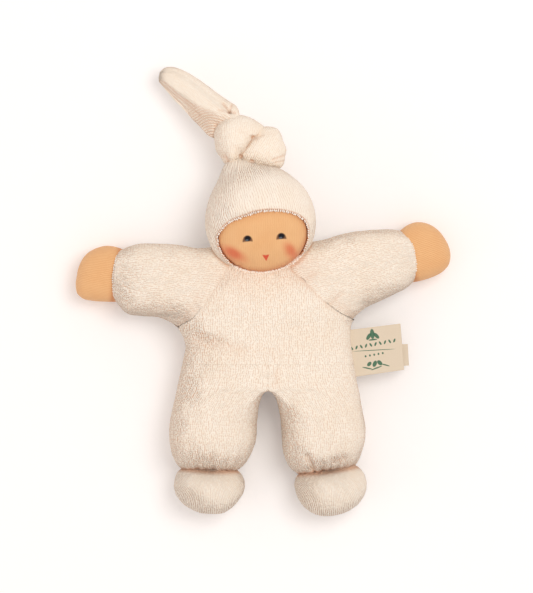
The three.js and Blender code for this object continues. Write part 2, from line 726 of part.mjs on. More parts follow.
/** A block of room for the tail, which starts this far behind and below the tail's root. */
function tailSlot(behind, below) {
  const block = new THREE.BoxGeometry(slotLength, slotWidth, slotLength);
  block.translate(slotLength / 2 - behind, 0, slotLength / 2 - below);
  block.applyMatrix4(new THREE.Matrix4().makeBasis(tailAlong, tailAcross, tailForm.rise));
  block.translate(tailRoot.x, tailRoot.y, tailRoot.z);
  return solidOf(block);
}

const tailRoom = [tailRoller(rollerRoom, slotWidth), tailSlot(0, rollerRoom), tailSlot(rollerRoom, 0)];
const knot = bigLobe.solid.add(smallLobe.solid).add(stem.solid);
addPiece(head, 'cap_knot', cutBy(knot, [capBall, ...tailRoom]), cloth.terry);
addPiece(head, 'cap_tail', tail, cloth.terry);

// Labels: two ribbons sewn into the left side seam, the small one under the large one
const labelMiddle = labelPlaceShare + labelLength / 2 / torsoLength;
const seamX = shoulderShift * labelMiddle ** 2 + (torsoWidth / 2) * shareAt(torsoWidthShares, labelMiddle);
const labels = new THREE.Group();
labels.position.set(seamX + clearance * 2, hipY + labelMiddle * torsoLength, sideSeamZ);
labels.rotation.y = THREE.MathUtils.degToRad(labelDroop);
doll.add(labels);

/** A flat ribbon that starts at the side seam. */
function ribbon(name, width, length, { from, drop, shift }) {
  const geometry = new THREE.BoxGeometry(width, length, labelThickness);
  geometry.translate(from + width / 2, -shift, -drop);
  geometry.rotateZ(THREE.MathUtils.degToRad(labelTurn));
  addPiece(labels, name, solidOf(geometry), cloth.ribbon);
}

ribbon('label', labelWidth, labelLength, { from: 0, drop: 0, shift: 0 });
ribbon('care_label', careLabelWidth, careLabelLength, {
  from: careLabelStart,
  drop: labelThickness + clearance,
  shift: labelLength * careLabelShiftShare,
});

export default doll;
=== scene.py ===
# %% [markdown]
# # A soft cloth doll, lying on its back
# The doll is a terry suit stuffed with wool, with a jersey face and hands and a knotted terry cap.
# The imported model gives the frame: which body each piece moves with, and where its joints are.
# Everything here is made over that frame, in millimetres first and in metres in the mesh.

# %% Load the frame
import functools
import json
import math

import bpy
import numpy as np
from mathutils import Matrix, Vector


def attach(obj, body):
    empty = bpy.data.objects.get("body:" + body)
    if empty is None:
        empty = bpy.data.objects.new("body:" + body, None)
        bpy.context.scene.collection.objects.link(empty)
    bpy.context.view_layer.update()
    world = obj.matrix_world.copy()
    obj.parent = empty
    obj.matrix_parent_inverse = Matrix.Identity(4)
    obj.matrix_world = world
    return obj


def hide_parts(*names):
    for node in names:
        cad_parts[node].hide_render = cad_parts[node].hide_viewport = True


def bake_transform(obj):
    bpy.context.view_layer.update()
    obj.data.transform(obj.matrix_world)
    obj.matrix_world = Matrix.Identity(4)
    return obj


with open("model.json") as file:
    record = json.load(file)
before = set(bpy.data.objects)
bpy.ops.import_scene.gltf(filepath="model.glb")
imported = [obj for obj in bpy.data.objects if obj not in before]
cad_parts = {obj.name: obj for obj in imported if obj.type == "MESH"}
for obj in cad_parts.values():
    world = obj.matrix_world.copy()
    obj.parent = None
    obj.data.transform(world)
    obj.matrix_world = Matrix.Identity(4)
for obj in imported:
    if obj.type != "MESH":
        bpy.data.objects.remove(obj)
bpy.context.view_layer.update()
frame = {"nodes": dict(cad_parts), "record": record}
MM = 0.001
joints = {row["name"]: row for row in frame["record"]["behaviour"]["joints"]}

# %% [markdown]
# ## Camera, light and floor
# The doll was photographed from straight above, from far enough away that nothing looks stretched.
# The picture is taller than it is wide, so the camera's sensor width is measured along its height.
# One large lamp stands at the upper right, so that soft shadows fall to the lower left, and a weak one
# stands low at the left, which lights the sides that face away from the first.
# The floor is plain white. What the camera sees of it is lifted to white by a little glow of its own,
# which lights nothing, and the shadow still darkens it.

# %% Camera
PICTURE_HEIGHT = 593 * 0.5  # mm that the picture shows from top to bottom, at half a mm per pixel
VIEW_MIDDLE = (-0.75, 21.75)
SHARP_HEIGHT = 20  # the height of the doll's middle, where that scale holds
CAMERA_DISTANCE = 2600
SENSOR = 36

camera_data = bpy.data.cameras.new("camera")
camera_data.sensor_width = SENSOR
camera_data.lens = SENSOR * CAMERA_DISTANCE / PICTURE_HEIGHT
camera = bpy.data.objects.new("camera", camera_data)
camera.location = (VIEW_MIDDLE[0] * MM, VIEW_MIDDLE[1] * MM, (SHARP_HEIGHT + CAMERA_DISTANCE) * MM)
bpy.context.collection.objects.link(camera)
bpy.context.scene.camera = camera
bpy.context.scene.view_settings.view_transform = "Standard"
print("lens, mm:", round(camera_data.lens, 1))


# %% Lamps
LIT_POINT = np.array([0, 0.02, 0.02])  # metres: the doll's middle, at which both lamps point
KEY_POWER = 5.3
FILL_POWER = 1.3
WORLD_STRENGTH = 0.7
WORLD_COLOUR = (1.0, 0.925, 0.895, 1)


def area_lamp(name, place, size, power, colour):
    """A square lamp at place, in metres, turned so that its own -Z points at the doll's middle."""
    data = bpy.data.lights.new(name, "AREA")
    data.shape = "SQUARE"
    data.size = size
    data.energy = power
    data.color = colour
    lamp = bpy.data.objects.new(name, data)
    lamp.location = place
    lamp.rotation_euler = Vector(LIT_POINT - np.array(place)).to_track_quat("-Z", "Y").to_euler()
    bpy.context.collection.objects.link(lamp)


area_lamp("key_lamp", (0.37, 0.25, 1.18), 0.6, KEY_POWER, (1.0, 0.985, 0.955))
area_lamp("fill_lamp", (-0.9, -0.25, 0.4), 0.7, FILL_POWER, (1.0, 0.97, 0.95))

world = bpy.data.worlds.new("studio")
world.use_nodes = True
bpy.context.scene.world = world
backdrop = world.node_tree.nodes["Background"]
backdrop.inputs["Color"].default_value = WORLD_COLOUR
backdrop.inputs["Strength"].default_value = WORLD_STRENGTH
print("lamps, watts:", {lamp.name: round(lamp.energy, 1) for lamp in bpy.data.lights})

# %% [markdown]
# ## Small tools for node trees
# A material is a tree of nodes. The helpers below put nodes in and join what feeds them, so that a
# pattern reads as a sum: each input is a number or the output of another node.


# %% Node helpers
def node(tree, kind, feeds=(), **settings):
    """Adds a node, applies its settings, and joins or sets its inputs by name or place."""
    made = tree.nodes.new(kind)
    for key, value in settings.items():
        setattr(made, key, value)
    for key, value in dict(feeds).items():
        if isinstance(value, bpy.types.NodeSocket):
            tree.links.new(value, made.inputs[key])
        else:
            made.inputs[key].default_value = value
    return made


def maths(tree, operation, *values):
    """One Math node's result."""
    made = node(tree, "ShaderNodeMath", dict(enumerate(values)), operation=operation)
    return made.outputs[0]


def ramp(tree, value, low, high, to_low=0.0, to_high=1.0):
    """A smooth step: to_low below low, to_high above high."""
    feeds = {"Value": value, "From Min": low, "From Max": high, "To Min": to_low, "To Max": to_high}
    return node(tree, "ShaderNodeMapRange", feeds, interpolation_type="SMOOTHSTEP").outputs[0]


def mixed(tree, share, first, second):
    """Two colours mixed by a share."""
    made = node(tree, "ShaderNodeMix", (), data_type="RGBA")
    for place, value in ((0, share), (6, first), (7, second)):
        if isinstance(value, bpy.types.NodeSocket):
            tree.links.new(value, made.inputs[place])
        else:
            made.inputs[place].default_value = value
    return made.outputs[2]


def from_screen(red, green, blue):
    """A colour given as 0 to 255 on a screen, as the linear colour that a shader takes."""
    shares = np.array([red, green, blue]) / 255
    linear = np.where(shares <= 0.04045, shares / 12.92, ((shares + 0.055) / 1.055) ** 2.4)
    return (*linear, 1.0)


def noise(tree, place, scale, detail):
    """Soft noise from 0 to 1 over a place: scale says how fine it is, and detail how many layers."""
    feeds = {"Vector": place, "Scale": scale, "Detail": detail}
    return node(tree, "ShaderNodeTexNoise", feeds).outputs["Fac"]


def raised(tree, shader, height, depth, strength=1.0):
    """Gives a shader relief: a height of 1 stands depth millimetres above a height of 0."""
    feeds = {"Strength": strength, "Distance": depth * MM, "Height": height}
    tree.links.new(node(tree, "ShaderNodeBump", feeds).outputs[0], shader.inputs["Normal"])


def new_material(name, surface):
    """
    A material with its Principled shader, and the tree they stand in. surface gives the shader's
    sockets that stay the same all over, by name: how rough, glossy and downy it is.
    """
    material = bpy.data.materials.new(name)
    material.use_nodes = True
    tree = material.node_tree
    shader = tree.nodes["Principled BSDF"]
    for socket, value in surface.items():
        shader.inputs[socket].default_value = value
    return material, tree, shader


# %% Floor
FLOOR_REACH = 3.0
FLOOR_GLOW = 0.13
PAPER_SHADES = ((0.93, 0.915, 0.91, 1), (0.95, 0.94, 0.935, 1))

floor_mesh = bpy.data.meshes.new("floor")
corners = [(FLOOR_REACH * x, FLOOR_REACH * y, 0) for x, y in ((-1, -1), (1, -1), (1, 1), (-1, 1))]
floor_mesh.from_pydata(corners, [], [(0, 1, 2, 3)])
floor = bpy.data.objects.new("floor", floor_mesh)
bpy.context.collection.objects.link(floor)

plain_white = {"Roughness": 1.0, "Specular IOR Level": 0.0, "Emission Color": (1, 1, 1, 1)}
paper, tree, shader = new_material("white_paper", plain_white)
grain = node(tree, "ShaderNodeTexNoise", {"Scale": 40.0, "Detail": 2.0})
tree.links.new(mixed(tree, grain.outputs["Fac"], *PAPER_SHADES), shader.inputs["Base Color"])
path = node(tree, "ShaderNodeLightPath")
seen = maths(tree, "MAXIMUM", path.outputs["Is Camera Ray"], path.outputs["Is Glossy Ray"])
tree.links.new(maths(tree, "MULTIPLY", seen, FLOOR_GLOW), shader.inputs["Emission Strength"])
floor_mesh.materials.append(paper)
print("floor, m across:", 2 * FLOOR_REACH)

# %% [markdown]
# ## Terry
# Terry is a knit whose loops stand up in columns, called wales. From arm's length it is a matt cream
# grain: each loop catches light on its top and leaves a small warm gap beside it.
# Cells of a Voronoi texture make good loops, because each has one top and a border all round.
# The cells are laid on the piece's own UV map, which is in millimetres along and across the knit,
# so the wales follow the cloth round each limb and draw together where it is gathered.


# %% Terry group
def group_tree(name, inputs, outputs):
    """A shader node group with its sockets. Inputs are (name, kind, value) rows."""
    tree = bpy.data.node_groups.new(name, "ShaderNodeTree")
    for label, kind, value in inputs:
        socket = tree.interface.new_socket(name=label, in_out="INPUT", socket_type=kind)
        if value is not None:
            socket.default_value = value
    for label in outputs:
        tree.interface.new_socket(name=label, in_out="OUTPUT", socket_type="NodeSocketFloat")
    return tree, tree.nodes.new("NodeGroupInput").outputs, tree.nodes.new("NodeGroupOutput").inputs


def make_terry_group():
    """
    Loops of terry. The place on the cloth is bent a little by noise, then divided by the loop's width
    and length, so that one Voronoi cell is one loop. Height is high in the cell's middle and along
    the wale, Gap is 1 on the cell's border, and Tone is a random shade for each loop.
    """
    tree, given, result = group_tree(
        "terry_loops",
        [("Cloth", "NodeSocketVector", None), ("Wale", "NodeSocketFloat", 0.75),
         ("Course", "NodeSocketFloat", 0.95), ("Wander", "NodeSocketFloat", 0.5),
         ("Rib", "NodeSocketFloat", 0.35), ("Disorder", "NodeSocketFloat", 0.45)],
        ["Height", "Gap", "Tone"],
    )
    waves = node(tree, "ShaderNodeTexNoise", {"Vector": given["Cloth"], "Scale": 0.22, "Detail": 2.0})
    centred = node(tree, "ShaderNodeVectorMath", {0: waves.outputs["Color"], 1: (0.5, 0.5, 0.5)},
                   operation="SUBTRACT").outputs[0]
    reach = maths(tree, "MULTIPLY", given["Wander"], 6.0)
    bend = node(tree, "ShaderNodeVectorMath", {0: centred, "Scale": reach}, operation="SCALE").outputs[0]
    bent = node(tree, "ShaderNodeVectorMath", {0: given["Cloth"], 1: bend}, operation="ADD").outputs[0]
    apart = node(tree, "ShaderNodeSeparateXYZ", {0: bent})
    across = maths(tree, "DIVIDE", apart.outputs[0], given["Wale"])
    along = maths(tree, "DIVIDE", apart.outputs[1], given["Course"])
    cell = node(tree, "ShaderNodeCombineXYZ", {0: across, 1: along})
    feeds = {"Vector": cell.outputs[0], "Scale": 1.0, "Randomness": given["Disorder"]}
    loops = node(tree, "ShaderNodeTexVoronoi", feeds, voronoi_dimensions="2D", feature="F1")
    tone = node(tree, "ShaderNodeSeparateColor", {0: loops.outputs["Color"]})
    on_loops = maths(tree, "SUBTRACT", across, maths(tree, "MULTIPLY", given["Disorder"], 0.5))
    rib = maths(tree, "ABSOLUTE", maths(tree, "COSINE", maths(tree, "MULTIPLY", on_loops, math.pi)))
    dome = ramp(tree, loops.outputs["Distance"], 0.62, 0.05)
    height = node(tree, "ShaderNodeMix", {0: given["Rib"], 2: dome, 3: rib}).outputs[0]
    lift = maths(tree, "ADD", 0.7, maths(tree, "MULTIPLY", tone.outputs[0], 0.3))
    tree.links.new(maths(tree, "MULTIPLY", height, lift), result["Height"])
    tree.links.new(ramp(tree, height, 0.5, 0.0), result["Gap"])
    tree.links.new(tone.outputs[1], result["Tone"])
    return tree


terry_group = make_terry_group()
print("terry group's nodes:", len(terry_group.nodes))

# %% [markdown]
# ### The terry finishes
# The suit, the feet, the cap and the knot are the same cloth, stretched more or less, so their loops
# differ in size and order. One function makes them all, with a finish's own numbers in each call.
# Two marks on the mesh steer it: one is shade painted warm and dark into creases and under edges,
# and the other is how far the surface turns from the key lamp, where more of the gaps' brown is
# painted as shade and the relief grows.

# %% Terry finishes
CREAM = (253, 242, 225)
CAP_CREAM = (255, 246, 232)
LOOP_WHITE = from_screen(255, 247, 233)
CLOUD_CREAM = from_screen(246, 229, 206)
# the loops' gaps, painted browner as shade on the sides turned from the key lamp
GAP_AND_SHADE_BROWN = from_screen(204, 156, 124)
# painted shade: the brown that creases, holes and covered cloth are painted towards
CREASE_SHADE_BROWN = from_screen(214, 146, 94)


def painted_darker(tree, colour, shade_colour):
    """A colour painted towards the shade's colour where the mesh's mark of painted shade lies."""
    painted_shade = node(tree, "ShaderNodeAttribute", (), attribute_name="painted_shade").outputs["Fac"]
    return mixed(tree, painted_shade, colour, shade_colour)


def terry_material(name, loop, relief, gap_shares, cream=CREAM):
    """
    Cream terry: loops from the group, warm in the gaps, painted shade in creases, slow changes of tone.
    loop gives the group's Wale, Course, Wander, Rib and Disorder, and relief its depth in mm.
    gap_shares gives how much of the gaps' colour shows where the surface faces the key lamp, and
    where it turns away from it: painted shade on the side away from the lamp. The relief grows with it.
    """
    surface = {"Roughness": 1.0, "Specular IOR Level": 0.1, "Sheen Weight": 0.1, "Sheen Roughness": 0.5}
    material, tree, shader = new_material(name, surface)
    loops = node(tree, "ShaderNodeGroup", (), node_tree=terry_group)
    tree.links.new(node(tree, "ShaderNodeUVMap", uv_map="knit").outputs[0], loops.inputs["Cloth"])
    for key, value in zip(("Wale", "Course", "Wander", "Rib", "Disorder"), loop):
        loops.inputs[key].default_value = value
    clouds = noise(tree, node(tree, "ShaderNodeTexCoord").outputs["Object"], 70.0, 3.0)
    light = mixed(tree, loops.outputs["Tone"], from_screen(*cream), LOOP_WHITE)
    shaded = mixed(tree, ramp(tree, clouds, 0.35, 0.75, 0.0, 0.3), light, CLOUD_CREAM)
    # painted shade: more of the gaps' brown where the surface turns from the key lamp
    away_from_key = node(tree, "ShaderNodeAttribute", (), attribute_name="away_from_key").outputs["Fac"]
    share = maths(tree, "MULTIPLY", loops.outputs["Gap"], ramp(tree, away_from_key, 0.0, 1.0, *gap_shares))
    # painted shade in the creases and under edges
    colour = painted_darker(tree, mixed(tree, share, shaded, GAP_AND_SHADE_BROWN), CREASE_SHADE_BROWN)
    tree.links.new(colour, shader.inputs["Base Color"])
    relief_away_from_key = ramp(tree, away_from_key, 0.0, 1.0, gap_shares[0] / gap_shares[1], 1.0)
    raised(tree, shader, maths(tree, "MULTIPLY", loops.outputs["Height"], relief_away_from_key), relief)
    return material


suit_terry = terry_material("suit_terry", (1.12, 1.2, 0.45, 0.32, 0.62), 0.55, (0.4, 0.92))
foot_terry = terry_material("foot_terry", (1.2, 1.35, 0.25, 0.55, 0.45), 0.65, (0.42, 0.95))
cap_terry = terry_material("cap_terry", (1.28, 1.7, 0.4, 0.68, 0.6), 0.52, (0.4, 1.0), CAP_CREAM)
knot_terry = terry_material("knot_terry", (0.95, 1.2, 0.35, 0.4, 0.5), 0.35, (0.25, 0.7))
print("terry finishes:", [m.name for m in bpy.data.materials if "terry" in m.name])

# %% [markdown]
# ## Jersey
# The hands and the face are fine cotton jersey. Its wales are narrow ribs that run along the hand,
# and show most where the light grazes them. The ribs are a wave on the UV map's millimetres.


# %% Jersey group
def make_jersey_group():
    """
    Ribs of jersey: the absolute value of a sine across the wales, broken along them by small stitches.
    Height is the relief, and Groove is 1 in the bottom of each groove.
    """
    sockets = [("Cloth", "NodeSocketVector", None), ("Wale", "NodeSocketFloat", 0.85),
               ("Stitch", "NodeSocketFloat", 0.7)]
    tree, given, result = group_tree("jersey_ribs", sockets, ["Height", "Groove"])
    waves = noise(tree, given["Cloth"], 0.3, 1.0)
    apart = node(tree, "ShaderNodeSeparateXYZ", {0: given["Cloth"]})
    bent = maths(tree, "ADD", apart.outputs[0], maths(tree, "MULTIPLY", waves, 0.8))
    across = maths(tree, "MULTIPLY", maths(tree, "DIVIDE", bent, given["Wale"]), math.pi)
    rib = maths(tree, "ABSOLUTE", maths(tree, "SINE", across))
    along = maths(tree, "MULTIPLY", maths(tree, "DIVIDE", apart.outputs[1], given["Stitch"]), 2 * math.pi)
    stitch = maths(tree, "MULTIPLY", maths(tree, "SINE", along), rib)
    tree.links.new(maths(tree, "ADD", rib, maths(tree, "MULTIPLY", stitch, 0.2)), result["Height"])
    tree.links.new(ramp(tree, rib, 0.45, 0.0), result["Groove"])
    return tree


jersey_group = make_jersey_group()
print("jersey group's nodes:", len(jersey_group.nodes))

# %% Jersey finish
SKIN = from_screen(243, 193, 139)
SKIN_DEEP = from_screen(231, 166, 108)
GROOVE_BROWN = from_screen(214, 138, 78)
# painted shade: the orange that the jersey's creases and the skin under the hem are painted towards
CREASE_SHADE_ORANGE = from_screen(190, 98, 46)
JERSEY_WALE, JERSEY_STITCH = 0.9, 0.75
JERSEY_RELIEF = 0.12


def jersey_base(name, groove_share):
    """A jersey material up to its plain colour, which the face's paint then goes on."""
    surface = {"Roughness": 0.88, "Specular IOR Level": 0.2, "Sheen Weight": 0.15, "Sheen Roughness": 0.5}
    material, tree, shader = new_material(name, surface)
    ribs = node(tree, "ShaderNodeGroup", (), node_tree=jersey_group)
    tree.links.new(node(tree, "ShaderNodeUVMap", uv_map="knit").outputs[0], ribs.inputs["Cloth"])
    ribs.inputs["Wale"].default_value = JERSEY_WALE
    ribs.inputs["Stitch"].default_value = JERSEY_STITCH
    place = node(tree, "ShaderNodeTexCoord").outputs["Object"]
    colour = mixed(tree, ramp(tree, noise(tree, place, 90.0, 3.0), 0.35, 0.8, 0.0, 0.25), SKIN, SKIN_DEEP)
    share = maths(tree, "MULTIPLY", ribs.outputs["Groove"], groove_share)
    # painted shade in creases and under edges
    colour = painted_darker(tree, mixed(tree, share, colour, GROOVE_BROWN), CREASE_SHADE_ORANGE)
    raised(tree, shader, ribs.outputs["Height"], JERSEY_RELIEF)
    return material, tree, shader, place, colour


hand_jersey, tree, shader, _, colour = jersey_base("hand_jersey", 0.7)
tree.links.new(colour, shader.inputs["Base Color"])
print("jersey finish:", hand_jersey.name)

# %% [markdown]
# ## Shapes from outlines
# A stuffed limb is described best by its outline. Each one here is two side edges, measured from the
# photograph in millimetres, and the height of its crown. Every ring of the form is an oval stretched
# between the two edges. The rings, worked out as whole arrays, are the piece.


# %% Curves and rings
def through(rows, at):
    """A smooth curve through rows of (place, size): cubic pieces with the rows' own mean slopes."""
    x, y = np.array(rows, float).T
    slope = np.gradient(y, x)
    at = np.clip(at, x[0], x[-1])
    i = np.clip(np.searchsorted(x, at) - 1, 0, len(x) - 2)
    span = x[i + 1] - x[i]
    t = (at - x[i]) / span
    first = (1 + 2 * t) * (1 - t) ** 2 * y[i] + t * (1 - t) ** 2 * span * slope[i]
    return first + t**2 * (3 - 2 * t) * y[i + 1] + t**2 * (t - 1) * span * slope[i + 1]


def outline(points, at, closed=False):
    """A smooth line through points, at shares of its length from 0 to 1."""
    p = np.array(points, float)
    p = np.concatenate([p[-3:], p, p[:4]]) if closed else p
    far = np.concatenate([[0], np.cumsum(np.linalg.norm(np.diff(p, axis=0), axis=1))])
    start, end = (far[3], far[-4]) if closed else (0, far[-1])
    at = start + (end - start) * at
    return np.stack([through(np.stack([far, p[:, k]], 1), at) for k in range(p.shape[1])], -1)


def step(value, low, high):
    """A smooth step from 0 at low to 1 at high."""
    t = np.clip((value - low) / (high - low), 0, 1)
    return t * t * (3 - 2 * t)


def oval(angle, fullness):
    """The point of a full oval that lies at an angle: 2 is a circle, and a high number nearly a square."""
    c, s = np.cos(angle), np.sin(angle)
    reach = (np.abs(c) ** fullness + np.abs(s) ** fullness) ** (-1 / fullness)
    return c * reach, s * reach


def soft_noise(points, size, seed):
    """
    Smooth hills between -1 and 1. Random numbers stand on a cubic grid of the given size, and a point
    takes the mean of the eight round it, weighted by smooth steps.
    """
    numbers = np.random.default_rng(seed).uniform(-1, 1, (32, 32, 32))
    p = points / size
    cell = np.floor(p).astype(int)
    t = p - cell
    t = t * t * (3 - 2 * t)
    total = np.zeros(points.shape[:-1])
    for corner in np.ndindex(2, 2, 2):
        share = np.prod(np.where(corner, t, 1 - t), axis=-1)
        i = (cell + corner) % 32
        total += share * numbers[i[..., 0], i[..., 1], i[..., 2]]
    return total


def outward(rings):
    """Unit normals of rings: the step round crossed with the step along, turned to point away."""
    around = np.roll(rings, -1, axis=1) - np.roll(rings, 1, axis=1)
    along = np.gradient(rings, axis=0)
    normal = np.cross(around, along)
    normal /= np.linalg.norm(normal, axis=-1, keepdims=True) + 1e-9
    away = ((rings - rings.mean(axis=1, keepdims=True)) * normal).sum()
    return normal * np.sign(away)


# %% [markdown]
# ### Stuffed bags
# Hands, feet and the knot's lobes are short and round, so their outline on the plan is a closed line.
# Rings run from the crown in the middle out to that line and back underneath, and the height falls
# off like a full oval. The first and last rings stay just off the poles, where a fan closes them.


# %% Bags
POLE_SHARES = (0.004, 0.996)  # of the way from the crown to the underside
ROUND_WAVES = 3  # how many waves of the outline's radius its plain round keeps


def bag(points, middle, side, top, bottom, rows, columns, fullness, melt=0.0):
    """
    Rings of a bag whose plan is a closed outline, from its crown over the side to its underside: the
    outline drawn in by an oval's width, at the oval's height. With melt, the outline's corners fade
    into a plain round towards the crown.
    """
    edge = outline(points, np.linspace(0, 1, columns, endpoint=False), closed=True) - middle
    height, out = oval(np.pi * np.linspace(*POLE_SHARES, rows)[:, None], fullness)
    radius = np.linalg.norm(edge, axis=-1)
    waves = np.fft.rfft(radius)
    waves[ROUND_WAVES:] = 0
    reach = out * (1 + melt * (1 - out**2) * (np.fft.irfft(waves, columns) / radius - 1))
    plan = np.array(middle) + edge[None] * reach[..., None]
    z = side + np.where(height > 0, (top - side) * height, (side - bottom) * height) + 0 * plan[..., 0]
    return np.concatenate([plan, z[..., None]], -1)


def bag_knit(rings, turn):
    """
    The knit map of a bag: a point's direction from the middle, times its way there over the surface,
    turned by some degrees. It keeps the wales straight on top and evenly spaced down the sides, and the
    underside has the same map as the top.
    """
    steps = np.linalg.norm(np.diff(rings, axis=0), axis=-1)
    far = np.concatenate([0 * steps[:1], np.cumsum(steps, axis=0)])
    far = np.minimum(far, far[-1:] - far)
    way = rings[len(rings) // 2, :, :2] - rings[0, :, :2].mean(0)
    way = way / np.linalg.norm(way, axis=-1, keepdims=True)
    flat = way[None] * far[..., None]
    a = math.radians(turn)
    across = flat[..., 0] * math.cos(a) + flat[..., 1] * math.sin(a)
    along = flat[..., 1] * math.cos(a) - flat[..., 0] * math.sin(a)
    return across, along


# %% [markdown]
# ### Creases and nubs
# A crease is a line on the plan, sunk into the upper side by a bell-shaped groove. It also leaves a
# mark on the mesh where the finish paints warm, dark shade into the crease.
# The cloth's own unevenness is three sizes of smooth noise, pushed along its normals.


# %% Creases and nubs
def creased(rings, creases):
    """
    Sinks creases, given as (start, end, depth, width, shade), and returns the rings with the painted
    shade at each point: how dark the finish paints it, as the crease's shade. A dent is a crease whose
    start is its end.
    """
    normal = outward(rings)
    upper = step(normal[..., 2], -0.3, 0.25)
    sink, painted_shade = np.zeros(rings.shape[:2]), np.zeros(rings.shape[:2])
    for start, end, depth, width, warm in creases:
        a, b = np.array(start, float), np.array(end, float)
        flat = rings[..., :2] - a
        t = np.clip(flat @ (b - a) / max((b - a) @ (b - a), 1e-9), 0, 1)
        away = np.linalg.norm(flat - t[..., None] * (b - a), axis=-1)
        near = np.exp(-((away / width) ** 2)) * upper
        sink += depth * near
        painted_shade = np.maximum(painted_shade, warm * near)
    return rings - normal * sink[..., None], painted_shade


FLOOR_CONTACT = 0.02  # mm, so that no cloth lies in the floor
NUB_SIZES = (1.0, 3.2, 11.0)
NUB_DEPTHS = (0.09, 0.08, 0.24)


def nubs(rings, seed, depths=NUB_DEPTHS):
    """Unevenness: nubs of a loop or two, small lumps of wool, and slow hills, each in millimetres."""
    push = sum(depth * soft_noise(rings, size, seed + i)
               for i, (depth, size) in enumerate(zip(depths, NUB_SIZES)))
    moved = rings + outward(rings) * push[..., None]
    moved[..., 2] = np.maximum(moved[..., 2], FLOOR_CONTACT)
    return moved


# %% [markdown]
# ## From rings to a mesh
# A grid of rings becomes quads, with a fan at each end. The UV map counts millimetres: across the
# knit round the widest ring, and along the knit from ring to ring. Where a ring is narrower than the
# widest, the wales draw together, as they do in gathered cloth.


# %% Knit map
def closed_round(grid):
    """A grid of rings with its first column once more at the end."""
    return np.concatenate([grid, grid[:, :1]], axis=1)


def knit_map(rings):
    """Millimetres across the knit for each column of the widest ring, and along it for each ring."""
    steps = np.linalg.norm(np.diff(rings, axis=0), axis=-1).mean(axis=1)
    along = np.concatenate([[0], np.cumsum(steps)])
    round_steps = np.linalg.norm(np.diff(closed_round(rings), axis=1), axis=-1)
    widest = round_steps[round_steps.sum(axis=1).argmax()]
    across = np.concatenate([[0], np.cumsum(widest)])
    return np.broadcast_to(across, (len(along), len(across))), along[:, None] + 0 * across


# %% [markdown]
# The side of each piece that turns away from the key lamp gets painted shade: more of the loops'
# brown gaps, and deeper relief. That is a number at each vertex, from its normal and the key lamp's
# way, so the finish can follow it.


# %% Painted shade from the key lamp's way
# the way to the key lamp, from the doll's middle
KEY_LAMP_WAY = np.array([0.35, 0.22, 0.91])  # up, and a little to the right
PATCH_DEPTH, PATCH_SIZE, PATCH_SEED = 0.18, 7.0, 7


def vertex_places(mesh):
    """A mesh's vertices as rows of x, y and z."""
    places = np.empty(len(mesh.vertices) * 3, np.float32)
    mesh.vertices.foreach_get("co", places)
    return places.reshape(-1, 3)


def away_from_key_lamp(mesh):
    """
    How far each vertex turns from the key lamp, from 0 to 1, for the finish's painted shade: a smooth
    step of the angle between the normal and the key lamp's way, moved a little by slow patches.
    """
    normals = np.empty(len(mesh.vertices) * 3, np.float32)
    mesh.vertex_normals.foreach_get("vector", normals)
    patches = PATCH_DEPTH * soft_noise(vertex_places(mesh) / MM, PATCH_SIZE, PATCH_SEED)
    return step(0.94 - normals.reshape(-1, 3) @ KEY_LAMP_WAY + patches, 0.0, 0.7).astype(np.float32)


# %% Faces between rings
def cell_corners(grid):
    """The four corners of every cell of a grid, in order round the cell."""
    return np.stack([grid[:-1, :-1], grid[:-1, 1:], grid[1:, 1:], grid[1:, :-1]], 2)


def ring_faces(rows, columns, knit):
    """
    The corners of all faces: a quad for each cell between two rings, and at each end a fan round a
    pole. Gives each corner's vertex and place on the knit, and each face's number of corners.
    """
    number = closed_round(np.arange(rows * columns).reshape(rows, columns))
    pole = np.full(columns, rows * columns)
    vertices = [cell_corners(number), np.stack([number[0, 1:], number[0, :-1], pole], 1),
                np.stack([number[-1, :-1], number[-1, 1:], pole + 1], 1)]
    places = [cell_corners(knit), np.stack([knit[0, 1:], knit[0, :-1], knit[0, :-1]], 1),
              np.stack([knit[-1, :-1], knit[-1, 1:], knit[-1, 1:]], 1)]
    sizes = np.repeat([4, 3], [(rows - 1) * columns, 2 * columns])
    vertices = np.concatenate([v.ravel() for v in vertices])
    places = np.concatenate([p.reshape(-1, 2) for p in places])
    return vertices, places, sizes


def turned_outwards(points, vertices, places, sizes):
    """
    The same corners, in the other order round each face where the piece is inside out. It is if its
    volume is negative: the sum of each quad's first corner, dotted with the next two crossed.
    """
    quads = points[vertices[:4 * (sizes == 4).sum()].reshape(-1, 4)]
    if np.einsum("ij,ij->i", quads[:, 0], np.cross(quads[:, 1], quads[:, 2])).sum() >= 0:
        return vertices, places
    starts = np.cumsum(sizes) - sizes
    within = np.arange(len(vertices)) - np.repeat(starts, sizes)
    order = np.repeat(starts + sizes - 1, sizes) - within
    return vertices[order], places[order]


# %% Mesh maker
def set_mark(mesh, name, values):
    """A number at each vertex that a finish can read."""
    mesh.attributes.new(name, "FLOAT", "POINT").data.foreach_set("value", values.astype(np.float32))


